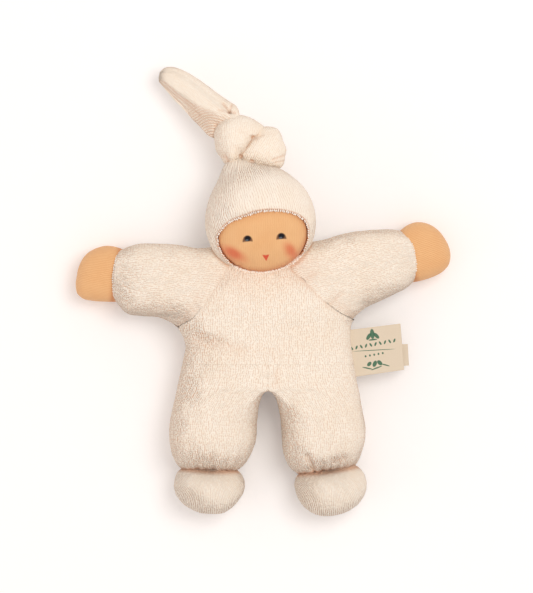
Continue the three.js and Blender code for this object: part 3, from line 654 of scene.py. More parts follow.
def piece_from_rings(name, rings, material, knit=None, painted_shade=None):
    """
    A closed piece through rings of points in millimetres, with its knit map and its two marks of painted
    shade: in the creases, and on the side turned from the key lamp. Rings that were added after the
    creases' shade was measured take the last ring's.
    """
    rows, columns = rings.shape[:2]
    knit = np.stack(knit_map(rings) if knit is None else knit, -1)
    knit = closed_round(knit) if knit.shape[1] == columns else knit
    points = np.concatenate([rings.reshape(-1, 3), rings[0].mean(0)[None], rings[-1].mean(0)[None]])
    vertices, places, sizes = ring_faces(rows, columns, knit)
    vertices, places = turned_outwards(points, vertices, places, sizes)
    mesh = bpy.data.meshes.new(name)
    mesh.vertices.add(len(points))
    mesh.vertices.foreach_set("co", (points * MM).astype(np.float32).ravel())
    mesh.loops.add(len(vertices))
    mesh.loops.foreach_set("vertex_index", vertices.astype(np.int32))
    mesh.polygons.add(len(sizes))
    mesh.polygons.foreach_set("loop_start", (np.cumsum(sizes) - sizes).astype(np.int32))
    mesh.uv_layers.new(name="knit").data.foreach_set("uv", places.astype(np.float32).ravel())
    painted_shades = np.zeros(len(points))
    if painted_shade is not None:
        painted_shades[:painted_shade.size] = painted_shade.ravel()
        painted_shades[painted_shade.size:rows * columns] = np.resize(painted_shade[-1], rows * columns - painted_shade.size)
    # painted shade in creases, as a mark for the finish
    set_mark(mesh, "painted_shade", painted_shades)
    mesh.update(calc_edges=True)
    mesh.validate()
    mesh.shade_smooth()
    set_mark(mesh, "away_from_key", away_from_key_lamp(mesh))
    mesh.materials.append(material)
    piece = bpy.data.objects.new(name, mesh)
    bpy.context.collection.objects.link(piece)
    low, high = points.min(0), points.max(0)
    print(f"{name}: {2 * rows * columns} triangles, mm from {low.round(1)} to {high.round(1)}")
    return piece


# %% [markdown]
# ## The head's ball
# The head is a hard wound ball. The neck of the suit and the tops of the sleeves end against it, so
# their forms need to know where it is: the skin under the chin, and the thicker cap round the rest.

# %% Head ball
HEAD = np.array(joints["head_turn"]["pos_m"]) / MM
SKIN_RADIUS = 25.25
CAP_RADIUS = 27.55
CAP_AIR = 0.25
CHIN_FROM, CHIN_TO = -45, 65  # degrees round from straight down the body, where no cap lies between
CHIN_FADE = 11


def head_radius(points):
    """How far the head reaches towards each point: the skin's radius at the chin, else the cap's."""
    away = points - HEAD
    round_angle = np.degrees(np.arctan2(away[..., 0], -away[..., 1]))
    chin = step(round_angle, CHIN_FROM - CHIN_FADE, CHIN_FROM)
    chin = chin * (1 - step(round_angle, CHIN_TO, CHIN_TO + CHIN_FADE)) * step(away[..., 2], -16, -6)
    return CAP_RADIUS + CAP_AIR + chin * (SKIN_RADIUS - CAP_RADIUS)


def inside_head(points):
    """True for points inside the head's ball."""
    return np.linalg.norm(points - HEAD, axis=-1) < head_radius(points)


# %% [markdown]
# Where a surface goes into the ball, its rings can end. The share at which each column goes in is
# found by looking at the surface in fine steps. The line of shares is then eased, so that it nowhere
# changes fast from column to column, and always ends inside the ball.


# %% Ends inside the ball
def ball_share(surface, columns, entering):
    """For each column, the share at which the surface goes into the ball, or comes out of it."""
    fine = np.linspace(0, 1, 400)
    inside = inside_head(surface(np.repeat(fine[:, None], columns, 1)))
    if entering:
        return np.where(inside.any(0), fine[inside.argmax(0)], 1.0)
    return np.where(inside.any(0), fine[::-1][inside[::-1].argmax(0)], 0.0)


def eased(cut, entering, slope=0.004, reach=90, extra=0.012):
    """The line of shares, held back so that it changes by at most the slope from column to column."""
    sign = 1 if entering else -1
    moved = [sign * np.roll(cut, j) - slope * abs(j) for j in range(-reach, reach + 1)]
    return np.clip(sign * np.max(moved, axis=0) + sign * extra, 0, 1)


# %% [markdown]
# ## The suit's body
# The body is a flat pillow, pressed on the floor, with a raglan seam on each side from the neck to the
# armpit. Its sections lie across the doll. Below the armpits a section is a full oval; above them the
# two seams cut it off, and a wall that the sleeve hides closes it. So the seam is a line of the grid,
# and the sleeve can start from exactly the same points.
# Edges and seams are rows of (height up the body, place across it), for the doll's left side, 1, and
# its right side, -1.

# %% Body measures
WAIST_END = -12.0  # where the legs' pieces take over
WAIST_UNDER = 2.0  # how far the body goes on under them
NECK_END = 47.0
BODY_EDGE = {
    1: [(-15, 43.1), (-12, 42.8), (-2, 41.5), (5, 41.3), (9, 42.2), (12, 44.5), (47, 38)],
    -1: [(-15, -43.1), (-12, -42.8), (-2, -41.3), (2, -42.6), (5, -44.4), (8, -45.8), (14, -47),
         (20, -47.2), (47, -40)],
}
SEAM = {
    1: [(8, 46), (11, 40.9), (13.2, 36.2), (16.8, 30.9), (26.3, 21.2), (34, 13.4), (40, 8.5), (47, 5)],
    -1: [(4, -48), (7.6, -42.6), (10.3, -37.6), (14.2, -34), (22.1, -29.2), (30.5, -23.6),
         (38.2, -18.6), (47, -13)],
}
BODY_TOP = [(-20, 40.3), (-12, 40.2), (-5, 39.7), (0, 39.3), (6, 39.6), (13, 40.1), (19, 39.8),
            (26, 37.6), (33, 33.9), (40, 30), (47, 28)]
BODY_SIDE = [(-20, 17), (-12, 17), (12, 17), (34, 15), (47, 14)]
BODY_FULLNESS = 2.5
print("body length, mm:", NECK_END - WAIST_END)

# %% [markdown]
# The floor presses the back flat. A hard cut would leave a sharp rim, which shows when a leg is lifted,
# so the heights near the floor are bent in with a soft edge.

# %% Floor's edge
BELOW_SHARE = 0.88  # how deep the underside is beside the upper side, before the floor flattens it
FLOOR_EDGE = 3.0
FLOOR_SINK, FLOOR_SINK_REACH = 0.9, 4.0


def on_floor(z):
    """Heights that the floor flattens: half of z and the root of z^2 + edge^2, sunk a little near 0."""
    sunk = FLOOR_SINK * np.exp(-np.maximum(z, 0) / FLOOR_SINK_REACH)
    return np.maximum((z + np.sqrt(z**2 + FLOOR_EDGE**2)) / 2 - sunk, 0)


# %% Body section
NO_SEAM = 99  # mm, past any edge, below the end of the seam


def body_height(x, y):
    """The height of the body's upper side, and of its side, at places on the plan."""
    left, right = through(BODY_EDGE[1], y), through(BODY_EDGE[-1], y)
    middle, half = (left + right) / 2, (left - right) / 2
    share = np.clip(np.abs((x - middle) / half), 0, 1)
    side, top = through(BODY_SIDE, y), through(BODY_TOP, y)
    return side + (top - side) * (1 - share**BODY_FULLNESS) ** (1 / BODY_FULLNESS), side


def seam_place(side, y):
    """Where one side's edge or seam stands at a height y up the body, whichever is nearer in."""
    nearer = np.minimum if side > 0 else np.maximum
    seam = np.where(y < SEAM[side][0][0], side * NO_SEAM, through(SEAM[side], y))
    return nearer(through(BODY_EDGE[side], y), seam)


# %% [markdown]
# The stitches of the raglan seam pull the cloth down by half a millimetre, which fades out where the
# seam reaches the edge. Body and sleeve overlap there by a hair, so that no gap shows at any angle.

# %% Seam line
SEAM_DIP = 0.55
DIP_HEIGHT = 9.0  # mm above the side from where the dip is whole
CUT_REACH = 3.0  # mm in from the edge from where a seam cuts the section off
SEAM_HIDDEN = 0.6  # how far a sleeve's first ring lies inside the body


def seam_heights(side, y):
    """One seam's place across, and the upper and lower heights of the cloth along it."""
    x = seam_place(side, y)
    top, level = body_height(x, y)
    cut = step(side * (through(BODY_EDGE[side], y) - x), 0, CUT_REACH)
    dip = SEAM_DIP * step(top - level, 0, DIP_HEIGHT) * cut
    return x, top - dip, on_floor(level - (top - level) * BELOW_SHARE)


# %% Body rings
CROWN_COLUMNS, WALL_COLUMNS = 210, 22
BODY_COLUMNS = 2 * (CROWN_COLUMNS + WALL_COLUMNS)
BODY_ROWS = 156
SEAM_HALF_WIDTH = 4.0
SEAM_OVERLAP = 0.9
TUCK = 0.35  # how far the body goes in under the legs' cloth


def body_rings(up):
    """
    Rings of the body at shares up, one for each column, from the waist to the neck. A column keeps its
    share of the way across the upper side, down the wall, back underneath and up the other wall.
    """
    y = WAIST_END - WAIST_UNDER + up * (NECK_END - WAIST_END + WAIST_UNDER)
    edges = {side: seam_place(side, y) for side in (1, -1)}
    cut = {side: step(side * (through(BODY_EDGE[side], y) - edges[side]), 0, CUT_REACH) for side in edges}
    left, right = (edges[side] + side * SEAM_OVERLAP * step(cut[side], 0, 0.1) for side in (1, -1))
    k = np.arange(BODY_COLUMNS)
    half_way = CROWN_COLUMNS + WALL_COLUMNS
    share = np.where(k < half_way, k / CROWN_COLUMNS, 1 - (k - half_way) / CROWN_COLUMNS)
    x = left + (right - left) * (1 - np.cos(np.pi * np.clip(share, 0, 1))) / 2
    top, level = body_height(x, y)
    for side in (1, -1):
        near = np.exp(-(((x - edges[side]) / SEAM_HALF_WIDTH) ** 2)) * cut[side]
        top = top - SEAM_DIP * near * step(top - level, 0, DIP_HEIGHT)
    top = top - TUCK * step(WAIST_END - y, 0, 1.5)
    back = on_floor(level - (top - level) * BELOW_SHARE)
    over_crown = k % half_way - CROWN_COLUMNS
    down = np.where(k < half_way, over_crown / WALL_COLUMNS, 1 - over_crown / WALL_COLUMNS)
    wall = top + (back - top) * np.clip(down, 0, 1)
    on_top, on_back = k < CROWN_COLUMNS, (k >= half_way) & (k < half_way + CROWN_COLUMNS)
    return np.stack([x, y + 0 * x, np.where(on_top, top, np.where(on_back, back, wall))], -1)


neck_share = ball_share(body_rings, BODY_COLUMNS, True)
body = body_rings(np.linspace(0, 1, BODY_ROWS)[:, None] * eased(neck_share, True))
print("body rings:", body.shape, "shortest column share:", neck_share.min().round(2))

# %% [markdown]
# The body's wales run straight up it. So its knit map counts the way round each ring from the doll's
# middle line on the upper side, and the plain height along it.

# %% Body knit
round_steps = np.linalg.norm(np.diff(closed_round(body), axis=1), axis=-1)
far_round = np.concatenate([0 * round_steps[:, :1], np.cumsum(round_steps, axis=1)], axis=1)
middle_far = np.array([np.interp(0, -ring[:CROWN_COLUMNS, 0], far[:CROWN_COLUMNS])
                       for ring, far in zip(body, far_round)])
body_knit = (far_round - middle_far[:, None], closed_round(body)[..., 1])
print("longest way round the body, mm:", far_round[:, -1].max().round(1))

# %% [markdown]
# ### Gathers and creases
# Under the chin the cloth is drawn up round the neck, so small pleats run out from the ball.
# The seams are lines of painted shade, and a shallow, slanting crease crosses the waist on one side.


# %% Neck pleats
PLEAT_COUNT = 105  # round a whole turn
PLEAT_REACH = 4.5


def neck_pleats(rings, depth, seed):
    """Pleats that point at the head's middle: a wave of its direction, fading away from the ball."""
    away = rings - HEAD
    distance = np.linalg.norm(away, axis=-1) - SKIN_RADIUS
    angle = np.arctan2(away[..., 0], -away[..., 1])
    wave = np.cos(PLEAT_COUNT * angle + 3 * soft_noise(rings, 6.0, seed))
    wave = wave * (0.65 + 0.35 * soft_noise(rings, 5.0, seed + 1))
    return rings + outward(rings) * (depth * wave * np.exp(-((distance / PLEAT_REACH) ** 2)))[..., None]


# %% Body
PLEAT_DEPTH, PLEAT_SEED = 0.2, 31
SUIT_SEED = 11
# painted shade along each raglan seam, darker on the doll's left
SEAM_SHADE = {1: (0, 0.05, 0.15, 0.25, 0.3), -1: (0, 0, 0.06, 0.1, 0.1)}  # from armpit to neck


def seam_lines(side, width=1.5):
    """A seam as a chain of lines of painted shade that sink nothing, in the form that creases have."""
    rows = SEAM[side][1:-1]
    return [((a[1], a[0]), (b[1], b[0]), 0.0, width, warm)
            for a, b, warm in zip(rows, rows[1:], SEAM_SHADE[side])]


waist_creases = [((-35, 0.5), (-14, -4.5), 0.8, 3.2, 0.1), ((-14, -4.5), (2, -6), 0.25, 3, 0.05)]
pleated = neck_pleats(body, PLEAT_DEPTH, PLEAT_SEED)
body, painted_shade = creased(pleated, seam_lines(1) + seam_lines(-1) + waist_creases)
# painted shade where the suit meets the head's ball
near_neck = np.linalg.norm(body - HEAD, axis=-1) - SKIN_RADIUS
painted_shade = np.maximum(painted_shade, 0.75 * np.exp(-((near_neck / 1.1) ** 2)))
body = nubs(body, SUIT_SEED)
suit_points = [body.reshape(-1, 3)]
suit_body = piece_from_rings("suit_body", body, suit_terry, body_knit, painted_shade)
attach(suit_body, "torso")
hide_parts("torso_front", "torso_back", "torso_filling")

# %% [markdown]
# ## Sleeves
# Each sleeve starts from the seam's own points and turns into an oval round the arm's line within a
# few centimetres. Near the head its first rings start where the surface leaves the head's ball.
# The open end is drawn in over the hand, and turned inwards by a hem. A sleeve's edges are rows of
# (way along the arm, place across it), measured from where the arm's line starts.

# %% Sleeve measures
ARM_START = {1: np.array([24.07, 25.28]), -1: np.array([-27.73, 25.28])}
ARM_ANGLE = {1: 19.3, -1: 8.7}
SLEEVE_UPPER = {
    1: [(-22, 17), (0, 20.2), (6.2, 21.1), (12.7, 22), (26, 21.4), (38.3, 18.3), (46, 15.6), (51.4, 12.6)],
    -1: [(-22, 14), (0, 17), (3, 17.8), (14.2, 19.3), (25.2, 19.2), (34, 18.2), (41.3, 16.6), (48.4, 12.9)],
}
SLEEVE_LOWER = {
    1: [(-22, -22), (6, -20), (10.8, -18.4), (16.1, -16.5), (26.4, -16), (36.9, -15.2), (42, -14.6),
        (47.4, -12.6)],
    -1: [(-22, -24), (8, -21.5), (13.1, -19.8), (16.8, -18.4), (25.1, -17.6), (33.2, -18.3),
         (42.7, -17.3), (46.6, -13.9)],
}
SLEEVE_CROWN = [(-22, 33), (0, 33.5), (14, 33), (30, 31.5), (40, 29), (49, 25)]
SLEEVE_SIDE_SHARE = 0.46  # how high its side lies, as a share of its crown
SLEEVE_FULLNESS = 2.25
CUFF_BULGE = {1: 2.2, -1: 1.9}
ARMPIT = {1: 10.1, -1: 5.9}
SLEEVE_ROWS, SLEEVE_COLUMNS = 132, 270
print("arm angles, degrees:", ARM_ANGLE)


# %% Sleeve form
def arm_axes(side):
    """The arm's own directions on the plan: along it, and across it towards the head."""
    a = math.radians(ARM_ANGLE[side])
    return np.array([side * math.cos(a), math.sin(a)]), np.array([-side * math.sin(a), math.cos(a)])


def arm_place(side, far, across):
    """The plan place of a point so far along the arm and so far across it."""
    along, over = arm_axes(side)
    return ARM_START[side] + np.asarray(far)[..., None] * along + np.asarray(across)[..., None] * over


def sleeve_form(side, far):
    """
    The plain sleeve so far along the arm: an oval between its two measured edges. The cuff's edge is
    not square to the arm, so each column counts its place by its own length to the cuff.
    """
    angle = np.linspace(0, 2 * np.pi, SLEEVE_COLUMNS, endpoint=False)
    c, s = oval(angle, SLEEVE_FULLNESS)
    upper, lower = np.array(SLEEVE_UPPER[side], float), np.array(SLEEVE_LOWER[side], float)
    lean = np.clip((1 - c) / 2, 0, 1)
    end = lower[-1, 0] + (upper[-1, 0] - lower[-1, 0]) * lean + CUFF_BULGE[side] * np.sin(angle) ** 2
    low, high = (through(rows, far * rows[-1, 0] / end) for rows in (lower, upper))
    across = (high + low) / 2 - (high - low) / 2 * c
    crown = through(SLEEVE_CROWN, far * (lower[-1, 0] + upper[-1, 0]) / 2 / end)
    level = crown * SLEEVE_SIDE_SHARE
    height = np.where(s > 0, level + (crown - level) * s, level + level * BELOW_SHARE * s)
    return np.concatenate([arm_place(side, far, across), np.maximum(height, 0)[..., None]], -1), end


# %% Sleeve surface
SEAM_CLOSES = (0.78, 1.0)  # shares of the way up the seam between which its two lines meet
SEAM_FADE_SHARE = 0.42  # of the sleeve's length, over which it leaves the seam for its plain form


def sleeve_surface(side, share):
    """
    A sleeve's points at shares of its length. The plain form is moved at the seam to the seam's own
    points, and the move fades out along the sleeve.
    """
    angle = np.linspace(0, 2 * np.pi, SLEEVE_COLUMNS, endpoint=False)
    seam_up = (1 - np.cos(angle)) / 2
    y = ARMPIT[side] + (NECK_END - ARMPIT[side]) * seam_up**0.9
    x, high, low = seam_heights(side, y)
    closing = step(seam_up, *SEAM_CLOSES)
    rounded = (high + low) / 2 + (high - low) / 2 * oval(angle, 2.2)[1]
    z = np.where(np.sin(angle) >= 0, high, low) * (1 - closing) + rounded * closing
    seam_points = np.stack([x - side * SEAM_HIDDEN * (1 - closing), y, z], -1)
    seam_far = (seam_points[:, :2] - ARM_START[side]) @ arm_axes(side)[0]
    start, end = sleeve_form(side, np.broadcast_to(seam_far, share.shape))
    plain = sleeve_form(side, seam_far + share * (end - seam_far))[0]
    fade = 1 - step(share, 0.0, SEAM_FADE_SHARE)
    return plain + (seam_points - start) * fade[..., None]


# %% [markdown]
# The cuff's edge is finished by carrying the cloth round half a turn and back inside, which gives it
# a real thickness. The middle row of that half turn is kept for the loops that stand on the edge.


# %% Cuffs
CUFF_THICKNESS, CUFF_DEPTH, CUFF_ROWS = 1.7, 5.0, 6


def turned_in(rings):
    """Rings that carry a cuff's edge round and back inside: a half turn of the cloth's thickness."""
    last, before = rings[-1], rings[-4]
    along = last - before
    along /= np.linalg.norm(along, axis=-1, keepdims=True)
    inward = last.mean(0) - last
    inward /= np.linalg.norm(inward, axis=-1, keepdims=True)
    turn = np.linspace(0, np.pi, CUFF_ROWS + 1)[1:, None, None]
    edge = last + CUFF_THICKNESS / 2 * (np.sin(turn) * along + (1 - np.cos(turn)) * inward)
    return np.concatenate([rings, edge, (edge[-1] - along * CUFF_DEPTH)[None]])


# %% [markdown]
# A sleeve is cloth that bends when the arm is lifted. Here it is one mesh, fixed in place where it
# is made.

# %% Sleeves
sleeve_creases = {
    1: [((42, 12), (33, 20), 0.5, 2.4, 0.1), ((17.5, 30), (23, 33), 0.4, 2.0, 0.15),
        ((30.5, 17.5), (36, 23), 0.45, 1.8, 0.15)],
    -1: [((-43, 8.5), (-37, 16), 0.5, 3.0, 0.12), ((-36.5, 13), (-35, 22), 0.2, 2.5, 0.1)],
}
# painted shade along each sleeve's seam
SLEEVE_SEAM_SHADE = {1: 0.2, -1: 0.05}
cuff_lines = {}
for side, name in ((1, "left"), (-1, "right")):
    surface = functools.partial(sleeve_surface, side)
    start = eased(ball_share(surface, SLEEVE_COLUMNS, False), False)
    rings = surface(start + (1 - start) * np.linspace(0, 1, SLEEVE_ROWS)[:, None])
    rings, painted_shade = creased(neck_pleats(rings, PLEAT_DEPTH, PLEAT_SEED), sleeve_creases[side])
    rings = nubs(rings, SUIT_SEED)
    suit_points.append(rings.reshape(-1, 3))
    # painted shade where the sleeve meets the cap, and along its seam
    near_head = np.linalg.norm(rings - HEAD, axis=-1) - CAP_RADIUS
    painted_shade = np.maximum(painted_shade, 0.5 * np.exp(-((near_head / 1.0) ** 2)))
    near_seam = np.exp(-((np.linalg.norm(rings - rings[:1], axis=-1) / 0.8) ** 2))
    painted_shade = np.maximum(painted_shade, SLEEVE_SEAM_SHADE[side] * near_seam * step(rings[..., 1], 12, 24))
    rings = turned_in(rings)
    cuff_lines[side] = rings[-CUFF_ROWS // 2 - 2]
    sleeve = piece_from_rings(f"sleeve_{name}_cloth", rings, suit_terry, painted_shade=painted_shade)
    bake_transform(sleeve)
    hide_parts(f"sleeve_{name}", f"arm_filling_{name}")

# %% [markdown]
# ## Hands
# A hand is a small jersey bag, fuller on its upper corner and squarer on its lower one. It comes out
# of the cuff, where a thread inside ties it, so its outline starts a little way up the sleeve, and
# there it is lifted off the floor by the cuff's cloth. Its ribs run along the arm.

# %% Hand measures
HANDS = {
    1: [(42, 11), (46, 12.4), (52, 15.0), (58, 15.5), (63.5, 13), (67.6, 7.9), (69.6, 1.5), (69.9, -3),
        (69, -7), (66.8, -10.4), (63, -12.6), (58, -13.4), (52.5, -13.4), (46, -12.4), (42, -11),
        (40, -6), (40, 6)],
    -1: [(41, 11), (45, 12.2), (51, 13.6), (56, 13.6), (61, 11.8), (65.4, 8.2), (67.8, 3), (68.5, -3),
         (68.2, -8), (66.8, -12), (63.5, -14.2), (59, -14.6), (53, -14.2), (46, -13.2), (41, -11.6),
         (39, -6), (39, 6)],
}
HAND_MIDDLE = (55, -0.5)
HAND_TOP, HAND_SIDE, HAND_BELOW = 23.6, 11.0, -1.6
HAND_ROWS, HAND_COLUMNS = 110, 200
HAND_FULLNESS = 2.35
HAND_NUBS = (0.03, 0.06, 0.25)
# where the hand gets painted shade inside the cuff
CUFF_END = 48.6  # along the arm, where the hand is warm and dark in the cuff
CUFF_LIFT = 1.6
hand_ends = {side: max(point[0] for point in points) for side, points in HANDS.items()}
print("hands, mm out of the cuff:", {side: round(end - CUFF_END, 1) for side, end in hand_ends.items()})

# %% Hands
for side, name in ((1, "left"), (-1, "right")):
    far, across = np.array(HANDS[side], float).T
    rings = bag(arm_place(side, far, across), arm_place(side, *HAND_MIDDLE), HAND_SIDE, HAND_TOP,
                HAND_BELOW, HAND_ROWS, HAND_COLUMNS, HAND_FULLNESS)
    rings[..., 2] = np.maximum(rings[..., 2], 0)
    knit = bag_knit(rings, side * ARM_ANGLE[side] - 90)
    rings = nubs(rings, 41 + side, HAND_NUBS)
    far = (rings[..., :2] - ARM_START[side]) @ arm_axes(side)[0]
    rings[..., 2] = np.maximum(rings[..., 2], CUFF_LIFT * step(-far, -52, -47))
    # painted shade on the hand where it goes into the cuff
    painted_shade = 0.55 * np.exp(-(((far - CUFF_END) / 1.6) ** 2))
    hand = piece_from_rings(f"hand_{name}_jersey", rings, hand_jersey, knit, painted_shade)
    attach(hand, f"arm_{name}")
    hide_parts(f"hand_{name}", f"hand_filling_{name}")

# %% [markdown]
# ## Legs
# The legs are the lower part of the same cloth as the body. Each leg's first ring is half of the body's
# section, closed by a flat wall on the middle line. Going down, the wall's corners round off, the back
# one first, and the ring becomes an oval of its own, which opens the crotch.

# %% Leg measures
LEG_OUTER = {
    1: [(42.8, -12), (44.3, -20), (46, -28), (47.4, -36), (48.8, -44), (48.4, -51), (46.6, -57),
        (44.9, -61), (43.2, -63.4)],
    -1: [(-42.8, -12), (-44.6, -20), (-46.4, -28), (-48.3, -36), (-49.4, -44), (-49.2, -52),
         (-47.6, -58.5), (-45.4, -62.4), (-43, -64.6)],
}
LEG_INNER = {
    1: [(0, -12), (0, -20), (0, -25.2), (1.5, -25.8), (2.9, -27.2), (4.2, -30), (5.0, -33), (6.1, -39),
        (6.9, -49), (8.2, -58), (11, -64), (15, -67.2)],
    -1: [(0, -12), (0, -20), (0, -25.2), (-1.4, -25.8), (-2.7, -27.2), (-3.8, -30), (-4.6, -33),
         (-5.3, -39), (-6.3, -51), (-9.4, -58.6), (-12.4, -63), (-16, -65.9)],
}
LEG_CROWN = [(-68, 20), (-65.5, 24), (-63, 29), (-59, 34), (-52, 37.4), (-42, 38.6), (-30, 39.4),
             (-20, 40.3), (-12, 40.2)]
LEG_SIDE = [(-68, 13), (-58, 15.5), (-40, 16.5), (-12, 17)]
LEG_ROWS, LEG_COLUMNS = 124, 300
FINER = 4  # times as many points round a ring, before they are set an even way apart
OWN_MIDDLE = (13, 38)  # mm down, between which a ring's middle moves to the leg's own
FRONT_ROUNDS, BACK_ROUNDS = (20, 44), (12, 26)  # mm down, between which the wall's corners round off
ROUND_CORNER, SQUARE_CORNER = 2.3, 60  # fullness
leg_lengths = {side: round(points[0][1] - points[-1][1], 1) for side, points in LEG_INNER.items()}
print("leg lengths, mm:", leg_lengths)


# %% Leg rings
def evened(rings):
    """The same rings with their points an even way apart round each, from the first point on."""
    closed = closed_round(rings)
    far = np.cumsum(np.linalg.norm(np.diff(closed, axis=1), axis=-1), axis=1)
    far = np.concatenate([0 * far[:, :1], far], axis=1)
    at = np.linspace(0, 1, rings.shape[1], endpoint=False)
    moved = [[np.interp(at * f[-1], f, ring[:, i]) for i in range(3)] for f, ring in zip(far, closed)]
    return np.array(moved).transpose(0, 2, 1)


def leg_rings(side):
    """
    Rings of one leg: ovals between its outer and inner edges, whose middles move from the doll's
    middle line to the leg's own. A corner's fullness is 1 over a mix of 1 / 60 and 1 / 2.3.
    """
    k = np.linspace(0, 1, LEG_ROWS)
    outer, inner = outline(LEG_OUTER[side], k), outline(LEG_INNER[side], k)
    level = (outer[:, 1] + inner[:, 1]) / 2
    own, front, back = (step(-level, *span)[:, None] for span in (OWN_MIDDLE, FRONT_ROUNDS, BACK_ROUNDS))
    middle = own * (outer + inner) / 2 + (1 - own) * np.stack([0 * k, level], 1)
    crown, side_height = through(LEG_CROWN, level)[:, None], through(LEG_SIDE, level)[:, None]
    angle = np.linspace(0, 2 * np.pi, FINER * LEG_COLUMNS, endpoint=False)[None]
    rounding = np.where(np.sin(angle) > 0, front, back)
    inner_fullness = 1 / (rounding / ROUND_CORNER + (1 - rounding) / SQUARE_CORNER)
    c, s = oval(angle, np.where(np.cos(angle) > 0, BODY_FULLNESS - 0.2 * own, inner_fullness))
    edge = np.where(c[..., None] > 0, outer[:, None], inner[:, None])
    plan = middle[:, None] + np.abs(c)[..., None] * (edge - middle[:, None])
    rise = np.where(s > 0, crown - side_height, (crown - side_height) * BELOW_SHARE) * s
    rings = np.concatenate([plan, on_floor(side_height + rise)[..., None]], -1)
    return evened(rings)[:, ::FINER]


# %% [markdown]
# ### Gathered at the ankles
# A thread draws the leg in at the ankle, so small pleats run up from it, and the cloth turns in
# under the foot's edge. The pleats are a wave round the ring that grows towards the thread.


# %% Ankle gathers
GATHER_COUNT, GATHER_DEPTH, GATHER_REACH = 19, 0.55, 0.13


def gathered(rings, seed):
    """Pleats at a form's last rings: a wave round it, of uneven depth, growing towards the end."""
    rows, columns = rings.shape[:2]
    along = np.linspace(1, 0, rows)[:, None] / GATHER_REACH
    angle = np.linspace(0, 2 * np.pi, columns, endpoint=False)[None]
    uneven = soft_noise(np.stack([3 * np.cos(angle), 3 * np.sin(angle), 0 * angle], -1), 0.8, seed)
    wave = 0.5 - 0.5 * np.cos(GATHER_COUNT * angle + 2.5 * uneven)
    depth = GATHER_DEPTH * np.exp(-(along**2)) * (0.45 + 0.9 * np.abs(uneven)) * wave
    return rings - outward(rings) * depth[..., None]


def drawn_in(rings, shrink=0.72, drop=(0, -0.6, 0), count=6):
    """Rings that carry the last one inwards towards its middle, and on along the limb by drop."""
    last = rings[-1]
    middle = last.mean(0)
    t = np.linspace(0, 1, count + 1)[1:, None, None]
    inner = middle + (last - middle) * (1 - (1 - shrink) * t)
    return np.concatenate([rings, inner + np.array(drop) * t**2])


# %% Legs
leg_creases = {
    1: [((19.6, -58), (22.4, -64), 1.3, 1.4, 0.14), ((33.5, -60.5), (38, -59), 0.6, 1.8, 0.12),
        ((27.5, -61), (28.2, -66), 0.5, 1.1, 0.08), ((4.4, -15), (3.6, -22.5), 0.45, 1.5, 0.1)],
    -1: [((-28, -57.5), (-27.6, -66), 0.45, 1.4, 0.08), ((-34.5, -61.5), (-35, -65.5), 0.4, 1.1, 0.06),
         ((-21, -61.5), (-21, -66), 0.4, 1.1, 0.06)],
}
WALL_OVERLAP = 0.15  # how far each leg's wall goes past the middle line
CROTCH = -26.5
for side, name in ((1, "left"), (-1, "right")):
    rings, painted_shade = creased(gathered(leg_rings(side), 50 + side), leg_creases[side])
    wall = 1 - step(side * rings[..., 0], 0.1, 1.0)
    at_wall = rings[..., 0] - WALL_OVERLAP * side
    rings = nubs(rings, SUIT_SEED)
    rings[..., 0] = rings[..., 0] * (1 - wall) + at_wall * wall
    # painted shade at the ankle's thread and in the crotch
    to_ankle = np.linalg.norm(rings - rings[-1:], axis=-1)
    painted_shade = np.maximum(painted_shade, 0.65 * np.exp(-((to_ankle / 1.4) ** 2)))
    near_crotch = np.exp(-(((rings[..., 1] - CROTCH) / 2.5) ** 2) - (rings[..., 0] / 4) ** 2)
    painted_shade = np.maximum(painted_shade, 0.5 * near_crotch * step(35 - rings[..., 2], 0, 12))
    leg = piece_from_rings(f"leg_{name}_cloth", drawn_in(rings), suit_terry, painted_shade=painted_shade)
    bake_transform(leg)
    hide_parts(f"leg_{name}", f"leg_filling_{name}")

# %% [markdown]
# ## Feet
# The feet are round terry bags, wider than the ankle they hang from. Their wales run from the ankle
# over the top and spread to the rim, where the light catches them as small ribs. So the knit map
# counts the angle round the ankle, and the way from it.

# %% Foot measures
FEET = {
    1: [(24, -64.6), (18, -66), (14.9, -67.8), (13.5, -70.6), (13.4, -74), (14.8, -79), (18.6, -84),
        (23.6, -87.2), (30.6, -88.3), (37, -87.1), (42.4, -84.4), (47, -80), (49.3, -75), (48.9, -69.5),
        (46.8, -65.4), (43.2, -62.6), (37, -61.8), (30, -63)],
    -1: [(-37, -62.8), (-42.3, -63.9), (-45.6, -66.6), (-46.9, -70.5), (-46.9, -75), (-44.6, -80),
         (-39.8, -84.2), (-34, -86.6), (-28.4, -87.2), (-23.5, -86.9), (-19, -84.6), (-14.6, -80),
         (-12, -74.5), (-11.9, -71.5), (-12.9, -68.4), (-15.9, -65.2), (-22, -63.2), (-30, -62.4)],
}
FOOT_MIDDLE = {1: (31.2, -75.2), -1: (-29.4, -75)}
FOOT_TOP, FOOT_SIDE, FOOT_BELOW = 31.2, 14.5, -2.2
FOOT_ROWS, FOOT_COLUMNS = 124, 250
FOOT_FULLNESS = 2.05
FOOT_NUBS = (0.14, 0.08, 0.3)
ANKLE = {1: (31, -59.5), -1: (-29.3, -58.5)}  # where the wales meet
ANKLE_ARC = 28  # mm across the knit for each radian round the ankle
FOOT_SEAM = {1: ([13, 30, 48], [-67.4, -65.9, -62.8]), -1: ([-46, -28, -12], [-64.3, -65.8, -65.6])}
foot_widths = {side: round(float(np.ptp(np.array(points)[:, 0])), 1) for side, points in FEET.items()}
print("feet, mm wide:", foot_widths)

